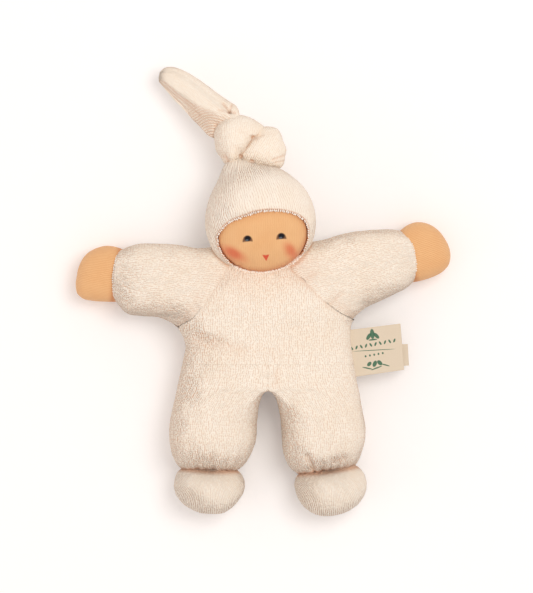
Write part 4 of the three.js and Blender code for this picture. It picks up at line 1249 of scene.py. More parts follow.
# %% Feet
for side, name in ((1, "left"), (-1, "right")):
    rings = bag(FEET[side], FOOT_MIDDLE[side], FOOT_SIDE, FOOT_TOP, FOOT_BELOW, FOOT_ROWS,
                FOOT_COLUMNS, FOOT_FULLNESS, melt=1.0)
    rings[..., 2] = np.maximum(rings[..., 2], 0)
    flat = np.stack(bag_knit(rings, 0), -1) + np.array(FOOT_MIDDLE[side]) - np.array(ANKLE[side])
    knit = (np.arctan2(flat[..., 0], -flat[..., 1]) * ANKLE_ARC, np.linalg.norm(flat, axis=-1))
    rings = nubs(rings, 61 + side, FOOT_NUBS)
    # painted shade in the crease along the ankle seam, on top
    from_seam = rings[..., 1] - np.interp(rings[..., 0], *FOOT_SEAM[side])
    painted_shade = 0.6 * np.exp(-((from_seam / 1.2) ** 2)) * (rings[..., 2] > FOOT_SIDE)
    foot = piece_from_rings(f"foot_{name}_cloth", rings, foot_terry, knit, painted_shade)
    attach(foot, f"leg_{name}")
    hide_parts(f"foot_{name}", f"foot_filling_{name}")

# %% [markdown]
# ## The cap's hem
# The cap's hem frames the face, so the face needs it too: the skin gets painted shade right under it.
# The hem is a curve round the face's own axis, which looks up out of the floor and a little down the
# body. It gives the angle out from that axis for each direction round it.

# %% Hem curve
FACE_TILT = math.radians(25)
FACE_AXIS = np.array([0.0, -math.sin(FACE_TILT), math.cos(FACE_TILT)])
FACE_UP = np.array([0.0, math.cos(FACE_TILT), math.sin(FACE_TILT)])
HEM_ANGLES = [(-180, 80), (-158, 71), (-137, 60.5), (-120, 59), (-106, 58.3), (-96, 57.6), (-80, 51),
              (-60, 44.2), (-37, 38), (-8, 37.4), (23, 41.6), (45, 48.9), (58, 54.6), (72, 60.8),
              (88, 65.2), (102, 67), (120, 69), (140, 73), (160, 78),
              (180, 80)]  # degrees round the face from its top, and out from its axis


def face_angles(direction):
    """Degrees out from the face's axis, and round it from its top, for unit directions."""
    out = np.degrees(np.arccos(np.clip(direction @ FACE_AXIS, -1, 1)))
    return out, np.degrees(np.arctan2(direction[..., 0], direction @ FACE_UP))


# %% [markdown]
# ## The face
# The face is the head's own jersey, and its eyes, mouth and blush are paint. Paint has no thickness
# worth a mesh, so it is masks in the skin's material, laid out on a plan of the face in millimetres:
# how far right of the head's middle, and how far above it. The plan is turned with the head's tilt.

# %% Skin ball
HEAD_TILT = math.radians(4.3)  # the eye line rises this much towards the doll's left
SKIN_ROWS, SKIN_COLUMNS = 190, 330


def skin_radius(direction):
    """The ball, a little hollow along the eye line, and fuller at the cheeks."""
    x, y, z = direction[..., 0], direction[..., 1], direction[..., 2]
    front = step(z, 0.2, 0.8)
    eye_line = -0.4 * np.exp(-(((y + 0.3) / 0.12) ** 2)) * front
    cheeks = 0.35 * np.exp(-(((y + 0.58) / 0.18) ** 2) - ((np.abs(x) - 0.42) / 0.3) ** 2) * front
    return SKIN_RADIUS + eye_line + cheeks


fall = np.pi * np.linspace(*POLE_SHARES, SKIN_ROWS)[:, None]
turn = np.linspace(0, 2 * np.pi, SKIN_COLUMNS, endpoint=False)[None]
height = np.cos(fall) + 0 * turn
direction = np.stack([np.sin(fall) * np.cos(turn), height, np.sin(fall) * np.sin(turn)], -1)
skin_rings = HEAD + direction * skin_radius(direction)[..., None]
print("skin ball:", skin_rings.shape)

# %% [markdown]
# The skin gets painted shade where it meets cloth: a narrow dark line right under the hem, a wide faint
# one with it, and the chin's lower edge. A small pucker lies where the thread of the neck pulls the skin
# in, with painted shade in it.

# %% Skin folds
# the pucker, with painted shade in it
chin_notch = [((-15.6, 35.6), (-13.4, 37.0), 0.5, 1.1, 0.3), ((-18.4, 40), (-15.6, 35.6), 0.25, 1.0, 0.25)]
skin_rings, painted_shade = creased(skin_rings, chin_notch)
out, round_face = face_angles(direction)
under_hem = out - through(HEM_ANGLES, round_face)
# painted shade under the hem
for hem_shade, reach in ((0.7, 1.6), (0.16, 7.0)):
    painted_shade = np.maximum(painted_shade, hem_shade * np.exp(-((under_hem / reach) ** 2)))
# painted shade on the chin's lower edge
rim = np.hypot(direction[..., 0], direction[..., 1])
painted_shade = np.maximum(painted_shade, 0.45 * step(rim, 0.86, 1.0) * (direction[..., 1] < 0))
print("share of the skin that is warmed:", (painted_shade > 0.1).mean().round(2))

# %% Face plan
face_jersey, tree, shader, place, colour = jersey_base("face_jersey", 0.27)
centred = node(tree, "ShaderNodeMapping", {"Vector": place, "Location": tuple(-HEAD[:2] * MM) + (0,)})
level = node(tree, "ShaderNodeVectorRotate", {"Vector": centred.outputs[0], "Angle": -HEAD_TILT},
             rotation_type="Z_AXIS")
feeds = {0: level.outputs[0], "Scale": 1 / MM}
in_mm = node(tree, "ShaderNodeVectorMath", feeds, operation="SCALE").outputs[0]
print("head's middle, mm:", HEAD.round(2))


# %% [markdown]
# A painted spot is an ellipse with a soft edge, turned on the face's plan. Its mask is 1 inside and
# falls to 0 over the brush's softness. Eyes, blush and their small lights are all such spots, so the
# spot is a node group with its place, size, turn and softness as inputs.


# %% Painted spots
def make_spot_group():
    """
    The mask of a spot: the distance from its middle, each way divided by its half size, through a
    smooth step about 1.
    """
    numbers = (("Right", 0.0), ("Up", 0.0), ("Half Width", 1.0), ("Half Height", 1.0), ("Turn", 0.0),
               ("Softness", 0.2))
    sockets = [("Plan", "NodeSocketVector", None)]
    sockets += [(label, "NodeSocketFloat", value) for label, value in numbers]
    tree, given, result = group_tree("painted_spot", sockets, ["Mask"])
    middle = node(tree, "ShaderNodeCombineXYZ", {0: given["Right"], 1: given["Up"]})
    feeds = {0: given["Plan"], 1: middle.outputs[0]}
    away = node(tree, "ShaderNodeVectorMath", feeds, operation="SUBTRACT")
    feeds = {"Vector": away.outputs[0], "Angle": given["Turn"]}
    turned = node(tree, "ShaderNodeVectorRotate", feeds, rotation_type="Z_AXIS")
    apart = node(tree, "ShaderNodeSeparateXYZ", {0: turned.outputs[0]})
    wide = maths(tree, "DIVIDE", apart.outputs[0], given["Half Width"])
    tall = maths(tree, "DIVIDE", apart.outputs[1], given["Half Height"])
    squares = maths(tree, "ADD", maths(tree, "POWER", wide, 2.0), maths(tree, "POWER", tall, 2.0))
    outer = maths(tree, "ADD", 1.0, given["Softness"])
    inner = maths(tree, "SUBTRACT", 1.0, given["Softness"])
    feeds = {"Value": maths(tree, "SQRT", squares), "From Min": outer, "From Max": inner}
    mask = node(tree, "ShaderNodeMapRange", feeds, interpolation_type="SMOOTHSTEP").outputs[0]
    tree.links.new(mask, result["Mask"])
    return tree


spot_group = make_spot_group()


def spot(tree, plan, right, up, half_width, half_height, turn, softness):
    """The mask of one painted spot."""
    made = node(tree, "ShaderNodeGroup", (), node_tree=spot_group)
    tree.links.new(plan, made.inputs["Plan"])
    values = {"Right": right, "Up": up, "Half Width": half_width, "Half Height": half_height,
              "Turn": math.radians(turn), "Softness": softness}
    for key, value in values.items():
        made.inputs[key].default_value = value
    return made.outputs[0]


# %% [markdown]
# The mouth is a wedge: as wide at its top as the distance up from its point, with a small notch in the
# top edge. So its mask is the smaller of two distances, one to its slanting sides and one to its top.


# %% Painted wedge
def wedge(tree, plan, right, point, half_width, height, softness):
    """The mask of a wedge that stands on its point."""
    apart = node(tree, "ShaderNodeSeparateXYZ", {0: plan})
    aside = maths(tree, "ABSOLUTE", maths(tree, "SUBTRACT", apart.outputs[0], right))
    wide = maths(tree, "DIVIDE", aside, half_width)
    up = maths(tree, "DIVIDE", maths(tree, "SUBTRACT", apart.outputs[1], point), height)
    notch = ramp(tree, wide, 0.5, 0.0, 0.0, 0.06)
    top = maths(tree, "SUBTRACT", maths(tree, "SUBTRACT", 1.0, notch), up)
    sides = maths(tree, "SUBTRACT", up, wide)
    return ramp(tree, maths(tree, "MINIMUM", top, sides), -softness, softness)


# %% [markdown]
# The eyes are half-moons: a dark arch over a small blue-grey light, with brown corners. Each is a spot
# whose lower part is cut off by a wide, low spot. The blush is soft wide spots, brushed on a slant.

# %% Paint colours
BLUSH_RED = from_screen(222, 84, 50)
LID_BROWN = from_screen(98, 58, 42)
PUPIL_BLACK = from_screen(20, 18, 26)
EYE_LIGHT = from_screen(112, 122, 132)
MOUTH_RED = from_screen(222, 70, 46)
BLUSH = [(-14.6, -14.9, 6.4, 2.6, 33, 0.55), (-14.8, -14.6, 3.4, 1.7, 33, 0.45),
         (13.6, -15.8, 2.8, 4.6, -30, 0.42), (13.9, -15.4, 1.7, 2.9, -30, 0.4)]
EYES = [(-7.2, -8.1), (9.55, -8.1)]  # right and up from the head's middle


def painted(tree, colour, mask, share, paint):
    """A colour with paint on it, where the mask is."""
    return mixed(tree, maths(tree, "MULTIPLY", mask, share), colour, paint)


# %% Painted face
for right, up, wide, tall, slant, share in BLUSH:
    mask = spot(tree, in_mm, right, up, wide, tall, slant, 0.7)
    colour = painted(tree, colour, mask, share, BLUSH_RED)
for right, up in EYES:
    arch = spot(tree, in_mm, right, up - 1.3, 2.5, 2.85, 0, 0.14)
    below = spot(tree, in_mm, right, up - 3.9, 6.5, 2.5, 0, 0.12)
    lid = maths(tree, "MULTIPLY", arch, maths(tree, "SUBTRACT", 1.0, below))
    colour = painted(tree, colour, lid, 0.85, LID_BROWN)
    pupil = spot(tree, in_mm, right + 0.1, up + 0.1, 1.6, 1.5, 0, 0.35)
    colour = painted(tree, colour, pupil, lid, PUPIL_BLACK)
    light = maths(tree, "MULTIPLY", spot(tree, in_mm, right - 0.3, up - 0.75, 0.75, 0.42, 0, 0.6), lid)
    colour = painted(tree, colour, light, 0.7, EYE_LIGHT)
mouth = wedge(tree, in_mm, 1.25, -19.8, 1.75, 3.1, 0.1)
colour = painted(tree, colour, mouth, 0.92, MOUTH_RED)
tree.links.new(colour, shader.inputs["Base Color"])

knit = (skin_rings - HEAD)[..., :2].transpose(2, 0, 1)
face = piece_from_rings("face_skin", skin_rings, face_jersey, tuple(knit), painted_shade)
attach(face, "head")
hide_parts("head_skin", "eye_left", "eye_right", "mouth")

# %% [markdown]
# ## The cap
# The cap is a terry tube pulled over the ball. Its grid starts at the hem and closes at the back of the
# head, so the hem is a row of the grid. Towards the knot the tube is drawn off the ball into a cone.

# %% Cap measures
CROWN_WAY = np.array([-0.27, 0.955, -0.1])
CROWN = CROWN_WAY / np.linalg.norm(CROWN_WAY)
CAP_THICKNESS = 1.3
CAP_ROWS, CAP_COLUMNS = 172, 450
CONES = [(24, 17, 7.2), (52, 24, 1.0), (-16, 14, 0.9)]  # degrees left of up, width in degrees, height
BACK_POLE = math.radians(179.64)
HEM_CLOSER = 0.8  # mm that the hem lies closer on the skin


def cap_radius(direction):
    """The ball, drawn out into a cone towards the knot."""
    radius = CAP_RADIUS + 0 * direction[..., 0]
    for lean, width, height in CONES:
        way = np.array([-math.sin(math.radians(lean)), math.cos(math.radians(lean)), -0.1])
        angle = np.degrees(np.arccos(np.clip(direction @ (way / np.linalg.norm(way)), -1, 1)))
        radius += height * np.exp(-((angle / width) ** 2))
    return radius


# %% Cap rings
turn = np.linspace(-np.pi, np.pi, CAP_COLUMNS, endpoint=False)
hem_angle = np.radians(through(HEM_ANGLES, np.degrees(turn)))


def cap_rings(share, lift):
    """
    Rings of the cap at shares from the hem to the back pole; lift is added to the radius. Towards its
    hem the cap lies closer on the skin.
    """
    lift = lift - HEM_CLOSER * np.exp(-((share * 22) ** 2))
    out = hem_angle[None] + (BACK_POLE - hem_angle[None]) * share
    direction = np.cos(out)[..., None] * FACE_AXIS
    direction = direction + (np.sin(out) * np.sin(turn))[..., None] * [1.0, 0, 0]
    direction = direction + (np.sin(out) * np.cos(turn))[..., None] * FACE_UP
    return HEAD + direction * (cap_radius(direction) + lift)[..., None], direction


def crown_places(direction):
    """Turn round the crown and angle down from it, for the wales that run up to the knot."""
    side = np.cross(CROWN, [0, 0, 1.0])
    side /= np.linalg.norm(side)
    front = np.cross(side, CROWN)
    return np.arctan2(direction @ side, direction @ front), np.arccos(np.clip(direction @ CROWN, -1, 1))


print("hem, degrees out from the face's axis:", np.degrees([hem_angle.min(), hem_angle.max()]).round(1))

# %% [markdown]
# The wales run up from the hem and draw together at the knot. They are finer than the grid, so they
# are the finish's work, but the knit map has to lead them: it counts the turn round the crown and the
# way down from it. The gathers near the knot and the slow waves of loose cloth are in the points.

# %% Cap cloth
share = np.linspace(0, 1, CAP_ROWS)[:, None]
outer, direction = cap_rings(share, 0.0)
longitude, fall = crown_places(direction)
near_knot = np.exp(-((np.degrees(fall) / 26) ** 2))
gathers = 0.22 * np.cos(30 * longitude + 2.5 * soft_noise(outer, 8, 74)) * near_knot
waves = 0.10 * soft_noise(outer, 1.1, 73) + 0.35 * soft_noise(outer, 11, 75)
scallops = 0.1 * np.cos(turn * 150)[None] * np.exp(-((share * 40) ** 2))
loose_side = np.exp(-(((np.degrees(turn) - 66) / 22) ** 2))[None]
loose = 0.3 * loose_side * np.exp(-((share * 14) ** 2))
outer = outer + direction * (gathers + waves + scallops + loose)[..., None]
print("cap, outer side:", outer.shape)

# %% [markdown]
# The hem is rolled: half a turn of the cloth's thickness joins the outer side to the lining. Its inner
# side gets painted shade, row by row, and the white loops of the hem stand on its middle row.

# %% Cap hem
LINING_ROWS, ROLL_ROWS = 22, 6
# painted shade on the lining and the roll, row by row
ROLL_SHADES = (1, 1, 0.95, 0.8, 0.6, 0.35, 0.15)  # from the lining to the outer side's first row
# dents with painted shade inside, where the cloth goes into the knot
KNOT_HOLES = [((-13.6, 91.9), (-13.2, 91.4), 0.7, 0.7, 0.55), ((-8.6, 89.4), (-7.4, 89.0), 0.7, 0.6, 0.55)]
edge_turn = np.linspace(np.pi, 0, ROLL_ROWS + 1)[:-1, None, None]
down = outer[0] - outer[2]
down /= np.linalg.norm(down, axis=-1, keepdims=True)
rolled = outer[0] + CAP_THICKNESS / 2 * ((1 - np.cos(edge_turn)) * -direction[0] + np.sin(edge_turn) * down)
hem_line = rolled[ROLL_ROWS // 2] + 0.55 * down + 0.4 * direction[0]
lining = cap_rings(np.linspace(1, 0.01, LINING_ROWS)[:, None], -CAP_THICKNESS)[0]
rings = np.concatenate([lining, rolled, outer])
rings[..., 2] = np.maximum(rings[..., 2], FLOOR_CONTACT)
rings, painted_shade = creased(rings, KNOT_HOLES)
shaded = LINING_ROWS + len(ROLL_SHADES)
# painted shade on the lining and the roll's inner side
painted_shade[:shaded] = np.maximum(painted_shade[:shaded], np.r_[np.ones(LINING_ROWS), ROLL_SHADES][:, None])
away = rings - HEAD
longitude, fall = crown_places(away / np.linalg.norm(away, axis=-1, keepdims=True))
cap_knit = (longitude * CAP_RADIUS * np.sin(fall) ** 0.6, fall * CAP_RADIUS)
cap = piece_from_rings("cap_cloth", rings, cap_terry, cap_knit, painted_shade)
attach(cap, "head")
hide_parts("cap")

# %% [markdown]
# ## The knot
# The tube is tied in one overhand knot. Seen from the front it is two fat lobes of cloth, one wrapped
# over from the left and one looped out at the right. Each is a bag with its own outline, and the two
# overlap along a slanting line, so that their sides make the deep crease between them. The two small
# holes where the cloth goes into the knot, and the deep one in the wrap, are dents with painted shade
# inside.

# %% Knot measures
KNOT_SIDE = 22.6
KNOT_ROWS, KNOT_COLUMNS = 150, 230
KNOT_FULLNESS = 2.15
KNOT_NUBS = (0.10, 0.08, 0.5)
WRAP = [(-26.8, 99), (-26, 94.6), (-23.4, 91), (-21.4, 88.2), (-19, 87.2), (-16.6, 88.8), (-13.6, 90.8),
        (-11, 93.4), (-8.4, 97.2), (-5.4, 100.8), (-2.0, 103.4), (-1.8, 106.2), (-4.2, 108.3),
        (-8, 110.8), (-12.5, 112.3), (-17, 112.3), (-21.5, 111.1), (-25.2, 108), (-27, 103.5)]
LOOP = [(-15, 91.6), (-11.8, 88.0), (-8.2, 86.2), (-2, 85.2), (3, 85.2), (6.4, 86.2), (7.8, 88.2),
        (8.4, 91.5), (9.1, 95.2), (7.7, 99), (6.5, 102.8), (4.7, 105.3), (1, 106.6), (-2.9, 106.4),
        (-6.4, 104.6), (-9.6, 101.4), (-12.8, 97), (-15, 93.8)]
# creases and dents, with painted shade in them
wrap_creases = [((-7.4, 100.6), (-7.2, 100.9), 0.8, 0.75, 0.55),
                ((-21.6, 91.5), (-19.8, 88.6), 0.6, 1.0, 0.3),
                ((-14, 104.5), (-8.4, 101.2), 0.3, 1.4, 0.05),
                ((-17, 96), (-12, 92.5), 0.3, 1.4, 0.06)]
loop_creases = [((-6.6, 101), (-3.0, 102.4), 0.5, 1.3, 0.12),
                ((-4.0, 102.6), (3.5, 102.9), 0.3, 1.4, 0.05),
                ((2.5, 89.9), (7.6, 91.8), 0.5, 0.7, 0.25), ((3.6, 88.4), (8.0, 89.4), 0.35, 0.5, 0.22),
                ((-13.2, 92.6), (-8.2, 99.4), 0.2, 0.6, 0.2)]
knot_rows = (("knot_wrap", WRAP, (-14.6, 101.4), 34.0, wrap_creases, 8, 81),
             ("knot_loop", LOOP, (-2.2, 96.6), 32.2, loop_creases, -28, 84))
print("knot lobes, highest, mm:", {row[0]: row[3] for row in knot_rows})

# %% Knot
for name, points, middle, top, creases, slant, seed in knot_rows:
    rings = bag(points, middle, KNOT_SIDE, top, 2 * KNOT_SIDE - top, KNOT_ROWS, KNOT_COLUMNS, KNOT_FULLNESS)
    knit = bag_knit(rings, slant)
    rings, painted_shade = creased(rings, creases + KNOT_HOLES)
    lobe = piece_from_rings(name, nubs(rings, seed, KNOT_NUBS), knot_terry, knit, painted_shade)
    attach(lobe, "head")
    if name == "knot_wrap":
        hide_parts("cap_knot")

# %% [markdown]
# ## The tail
# Beyond the knot the tube is left flat and folded. Its broad face lies up, from its upper edge to a
# ridge. Below the ridge it slopes away to the lower edge, in layers, and the slope widens towards the
# knot, where a deep pucker pulls small pleats into the cloth.

# %% Tail measures
TAIL_UPPER = [(-15, 108), (-14.0, 112.6), (-15.7, 117), (-19.3, 119.4), (-25.3, 123.6), (-30.5, 127.6),
              (-36.5, 131.8), (-42.9, 135.3), (-47.8, 136.8), (-51.6, 136.5), (-54.3, 134.2), (-55, 131.8)]
TAIL_LOWER = [(-21, 100.5), (-26.2, 100.6), (-30.0, 102.6), (-34.3, 107.3), (-38.8, 111.5),
              (-42.9, 116.3), (-46.3, 119.7), (-50, 124), (-53.2, 127.6), (-54.7, 129.6), (-55, 131.8)]
TAIL_LEVEL = [(0, 20.5), (0.25, 19), (0.6, 15.5), (1, 12.5)]
TAIL_RISE = [(0, 9.0), (0.25, 8.0), (0.6, 6.5), (1, 4.5)]
TAIL_RIDGE = [(0, 0.8), (0.14, 0.74), (0.3, 0.56), (0.5, 0.42), (0.8, 0.32), (1, 0.3)]
TAIL_LAYERS = [(0.74, 0.8, 0.4), (0.48, 0.8, 0.3), (0.22, 0.6, 0.5)]  # share up to the ridge, height, start
TAIL_ROWS, TAIL_COLUMNS = 150, 260
TAIL_FULLNESS = 2.4
TAIL_DEPTH = 3.0  # mm that it hangs below its level
TIP_LENGTH = 5.0
LAYER_GROWS = 0.12  # the share of the tail over which a layer's edge comes up
print("tail, mm from knot to tip:", round(math.dist(TAIL_LOWER[0], TAIL_LOWER[-1]), 1))

# %% [markdown]
# Across the tail, 0 is its lower edge and 1 its upper one, and a place counts its way from the ridge
# as a share, d. The broad face falls off as 1 - d^1.3 / 2 - d^11 / 2, and the slope below the ridge as
# 1 - 0.86 d^1.15 - 0.14 d^8. The first d of each is blunted near the ridge, which rounds it.

# %% Tail profile
k = np.linspace(0, 0.9985, TAIL_ROWS)
along = k[:, None]
upper, lower = outline(TAIL_UPPER, k), outline(TAIL_LOWER, k)
to_tip = np.linalg.norm((upper + lower) / 2 - np.array(TAIL_UPPER[-1]), axis=-1)
swell = np.sqrt(1 - (1 - np.clip(to_tip / TIP_LENGTH, 0, 1)) ** 2)[:, None]
angle = np.linspace(0, 2 * np.pi, TAIL_COLUMNS, endpoint=False)
on_top = (np.sin(angle) > 0)[None]
across = (1 - oval(angle, TAIL_FULLNESS)[0])[None] / 2
ridge = through(TAIL_RIDGE, k)[:, None]
on_face = across > ridge
from_ridge = np.where(on_face, (across - ridge) / (1 - ridge), (ridge - across) / ridge)
blunt = np.maximum(np.hypot(from_ridge, 0.11) - 0.11, 0)
face = 1 - 0.5 * blunt**1.3 - 0.5 * from_ridge**11
slope = 1 - 0.86 * blunt**1.15 - 0.14 * from_ridge**8
rise = through(TAIL_RISE, k)[:, None] * swell * np.clip(np.where(on_face, face, slope), 0, 1)
print("tail profile, highest rise, mm:", round(float(rise.max()), 2))

# %% Tail layers
edges = 0 * rise
for share, height, first in TAIL_LAYERS:
    line = ridge * share * (1 + 0.1 * np.sin(9 * along + 7 * share))
    comes_up = step(along, first, first + LAYER_GROWS)
    behind = 0.5 - 0.5 * np.tanh((across - line) / 0.013)
    # painted shade along each layer's edge
    edges = edges + 0.35 * comes_up * np.exp(-(((across - line + 0.012) / 0.02) ** 2))
    rise = rise - height * comes_up * swell * behind * np.clip(from_ridge * 2, 0, 1)
under = TAIL_DEPTH * swell * (1 - from_ridge**3)
level = through(TAIL_LEVEL, k)[:, None]
plan = lower[:, None] + across[..., None] * (upper - lower)[:, None]
height = level + np.where(on_top, np.maximum(rise, 0), -under)
rings = np.concatenate([plan, height[..., None]], -1)
print("tail, mm above the floor:", rings[..., 2].min().round(1), "to", rings[..., 2].max().round(1))

# %% Tail
PUCKER = (-19.3, 114.1)
# the pucker's dents and pleats, with painted shade in them
tail_creases = [(PUCKER, PUCKER, 1.3, 1.0, 0.65), (PUCKER, (-22.4, 118), 0.7, 0.7, 0.3),
                (PUCKER, (-24.5, 114.8), 0.5, 0.9, 0.2), (PUCKER, (-18, 117.5), 0.5, 0.6, 0.25),
                (PUCKER, (-16.4, 113.4), 0.6, 0.7, 0.3), ((-26, 103.6), (-25.4, 107.4), 0.8, 1.0, 0.4),
                ((-27.6, 101.6), (-26.2, 104.6), 0.6, 0.8, 0.3)]
RIB_MIDDLE, RIB_PITCH, RIB_HEIGHT = np.array([-28, 98]), 1.35, 0.2
rings, painted_shade = creased(rings, tail_creases)
from_middle = np.linalg.norm(rings[..., :2] - RIB_MIDDLE, axis=-1)
ribs = np.cos(2 * np.pi * from_middle / RIB_PITCH + 1.5 * soft_noise(rings, 5, 90))
on_slope = on_top & (across < ridge)
ribbed = np.where(on_slope, np.clip(3 * from_ridge, 0, 1), 0) * step(0.62 - along, 0, 0.25)
rings = rings + outward(rings) * (RIB_HEIGHT * ribs * ribbed)[..., None]
# painted shade in the ribs' troughs and along the layers' edges
painted_shade = np.maximum(painted_shade, np.maximum(0.45 * ribbed * (0.5 - 0.5 * ribs), edges * on_top))
tail = piece_from_rings("tail_cloth", nubs(rings, 91, (0.07, 0.05, 0.3)), knot_terry, painted_shade=painted_shade)
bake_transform(tail)
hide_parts("cap_tail")

# %% [markdown]
# ## The labels
# Two woven ribbons are caught in the left side seam: a wide one and a narrow one under it.
# A ribbon is a thin sheet with a faint rep weave and a slight curl. The wide one carries a small
# green sprig, printed with the same soft spots as the face.


# %% Ribbon form
RIBBON_ROWS, RIBBON_COLUMNS = 60, 52
RIBBON_FULLNESS = 12.0


def ribbon_rings(corners, heights, curl, thickness):
    """
    A flat ribbon as thin rings from the seam outwards. Its corners are its lower and upper one at the
    seam, then the two far ones, its height falls from the first to the second of heights, and curl
    lifts its middle.
    """
    k = np.linspace(0, 1, RIBBON_ROWS)[:, None]
    near_a, near_b, far_a, far_b = np.array(corners)
    edge_a = near_a + (far_a - near_a) * k
    edge_b = near_b + (far_b - near_b) * k
    level = heights[0] + (heights[1] - heights[0]) * k + curl * np.sin(np.pi * k)
    c, s = oval(np.linspace(0, 2 * np.pi, RIBBON_COLUMNS, endpoint=False), RIBBON_FULLNESS)
    plan = (edge_a + edge_b)[:, None] / 2 - (edge_b - edge_a)[:, None] / 2 * c[None, :, None]
    return np.concatenate([plan, (level + thickness / 2 * s)[..., None]], -1)


# %% Ribbon finish
RIBBON_DEEP = from_screen(232, 216, 192)
RIBBON_LIGHT = from_screen(241, 227, 205)
RIBBON_THREAD = from_screen(224, 206, 180)
PRINT_GREEN = from_screen(50, 112, 84)


def ribbon_material(name, strokes):
    """Cream rep ribbon: fine ribs across it, and the printed strokes, if any."""
    material, tree, shader = new_material(name, {"Roughness": 0.7, "Specular IOR Level": 0.3})
    place = node(tree, "ShaderNodeUVMap", uv_map="print").outputs[0]
    feeds = {"Vector": place, "Scale": 1.1, "Distortion": 0.6, "Detail": 1.0}
    ribs = node(tree, "ShaderNodeTexWave", feeds, wave_type="BANDS", bands_direction="Y").outputs["Fac"]
    colour = mixed(tree, ribs, RIBBON_DEEP, RIBBON_LIGHT)
    threads = ramp(tree, noise(tree, place, 3.0, 2.0), 0.3, 0.8, 0.0, 0.4)
    colour = mixed(tree, threads, colour, RIBBON_THREAD)
    for right, up, wide, tall, slant in strokes:
        mask = spot(tree, place, right, up, wide, tall, slant, 0.12)
        colour = painted(tree, colour, mask, 0.92, PRINT_GREEN)
    tree.links.new(colour, shader.inputs["Base Color"])
    raised(tree, shader, ribs, 0.06)
    return material


# %% [markdown]
# The print is a bud over a row of leaves, a thin line, a row of dots, and a twig with three buds. Each
# row below is one stroke: right and up from the ribbon's lower seam corner, half width, half height
# and turn, in millimetres and degrees. The whole print is then drawn a little larger about its middle.

# %% Printed sprig
BUD = [(12.6, 19.6, 1.0, 2.3, 0), (10.9, 18.6, 0.8, 1.7, 38), (14.3, 18.6, 0.8, 1.7, -38),
       (12.6, 17.0, 2.0, 0.35, 0)]
LEAVES = [(3.0 + 2.1 * i, 14.2 + 0.14 * i, 0.95, 0.42, 62 - 124 * (i % 2)) for i in range(10)]
THIN_LINE = [(12.4, 12.2, 9.6, 0.16, 3.5)]
DOTS = [(8.6 + 1.9 * i, 9.9 + 0.12 * i, 0.42, 0.5, 0) for i in range(5)]
TWIG = [(8.8, 4.4, 2.4, 0.3, 18), (12.8, 4.0, 2.6, 0.3, -14), (16.8, 4.9, 2.0, 0.28, 22),
        (12.2, 6.0, 0.9, 1.5, 30), (14.4, 6.2, 0.9, 1.4, -40), (9.8, 6.2, 0.8, 1.2, 50)]
SPRIG = [(12.6 + 1.15 * (right - 12.6), 11.8 + 1.1 * (up - 11.8), 1.1 * wide, 1.1 * tall, slant)
         for right, up, wide, tall, slant in BUD + LEAVES + THIN_LINE + DOTS + TWIG]


def print_map(piece, origin, slant):
    """A second UV map in millimetres: out from the seam, and up along it, on the ribbon's plan."""
    mesh = piece.data
    flat = vertex_places(mesh)[:, :2] / MM - np.array(origin)
    c, s = math.cos(math.radians(slant)), math.sin(math.radians(slant))
    corner = np.empty(len(mesh.loops), np.int32)
    mesh.loops.foreach_get("vertex_index", corner)
    places = np.stack([flat @ np.array([c, s]), flat @ np.array([-s, c])], 1)[corner]
    mesh.uv_layers.new(name="print").data.foreach_set("uv", places.astype(np.float32).ravel())


print("strokes in the print:", len(SPRIG))

# %% Labels
LABEL_TURN = 6.6  # degrees from level
LABEL_CORNERS = ((42.2, -18.6), (40.2, 5.0), (68.3, -15.0), (66.4, 8.2))
CARE_CORNERS = ((43.0, -14.4), (41.9, -3.0), (70.8, -12.9), (70.2, -2.1))
label_rows = ribbon_rings(LABEL_CORNERS, (20.4, 12.4), 0.9, 0.55)
label = piece_from_rings("label_ribbon", label_rows, ribbon_material("printed_ribbon", SPRIG))
print_map(label, (42.0, -18.7), LABEL_TURN)
care_rows = ribbon_rings(CARE_CORNERS, (19.2, 8.6), -0.4, 0.45)
care = piece_from_rings("care_ribbon", care_rows, ribbon_material("plain_ribbon", []))
print_map(care, CARE_CORNERS[0], LABEL_TURN)
for ribbon, flat, node_name in ((label, (0.0236, 0.0272), "label"), (care, (0.0116, 0.030), "care_label")):
    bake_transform(ribbon)
    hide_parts(node_name)

# %% [markdown]
# ## Loops along the edges
# The cut edges of the cap and the cuffs end in a row of tiny white loops. Hundreds of them are one
# mesh: each is a small egg of a few faces, set along the edge and nudged by a seeded random amount.


# %% Egg
EGG_ROWS, EGG_COLUMNS = 5, 8
EGG_FALLS = (0.12, 0.88)  # shares of half a turn, for its first and last ring


def egg():
    """A ball of a few faces: its points, its four-sided faces, and the three-sided ones at its poles."""
    fall = np.linspace(*EGG_FALLS, EGG_ROWS)[:, None] * np.pi
    turn = np.linspace(0, 2 * np.pi, EGG_COLUMNS, endpoint=False)[None]
    ball = np.stack([np.sin(fall) * np.cos(turn), np.sin(fall) * np.sin(turn), np.cos(fall) + 0 * turn], -1)
    points = np.concatenate([ball.reshape(-1, 3), [[0, 0, 1]], [[0, 0, -1]]])
    number = np.arange(EGG_ROWS * EGG_COLUMNS).reshape(EGG_ROWS, EGG_COLUMNS)
    after = np.roll(number, -1, axis=1)
    quads = np.stack([number[:-1], number[1:], after[1:], after[:-1]], -1).reshape(-1, 4)
    top = np.stack([np.full(EGG_COLUMNS, number.size), number[0], after[0]], 1)
    bottom = np.stack([np.full(EGG_COLUMNS, number.size + 1), after[-1], number[-1]], 1)
    return points, quads, np.concatenate([top, bottom])


print("points and faces of one egg:", [len(part) for part in egg()])


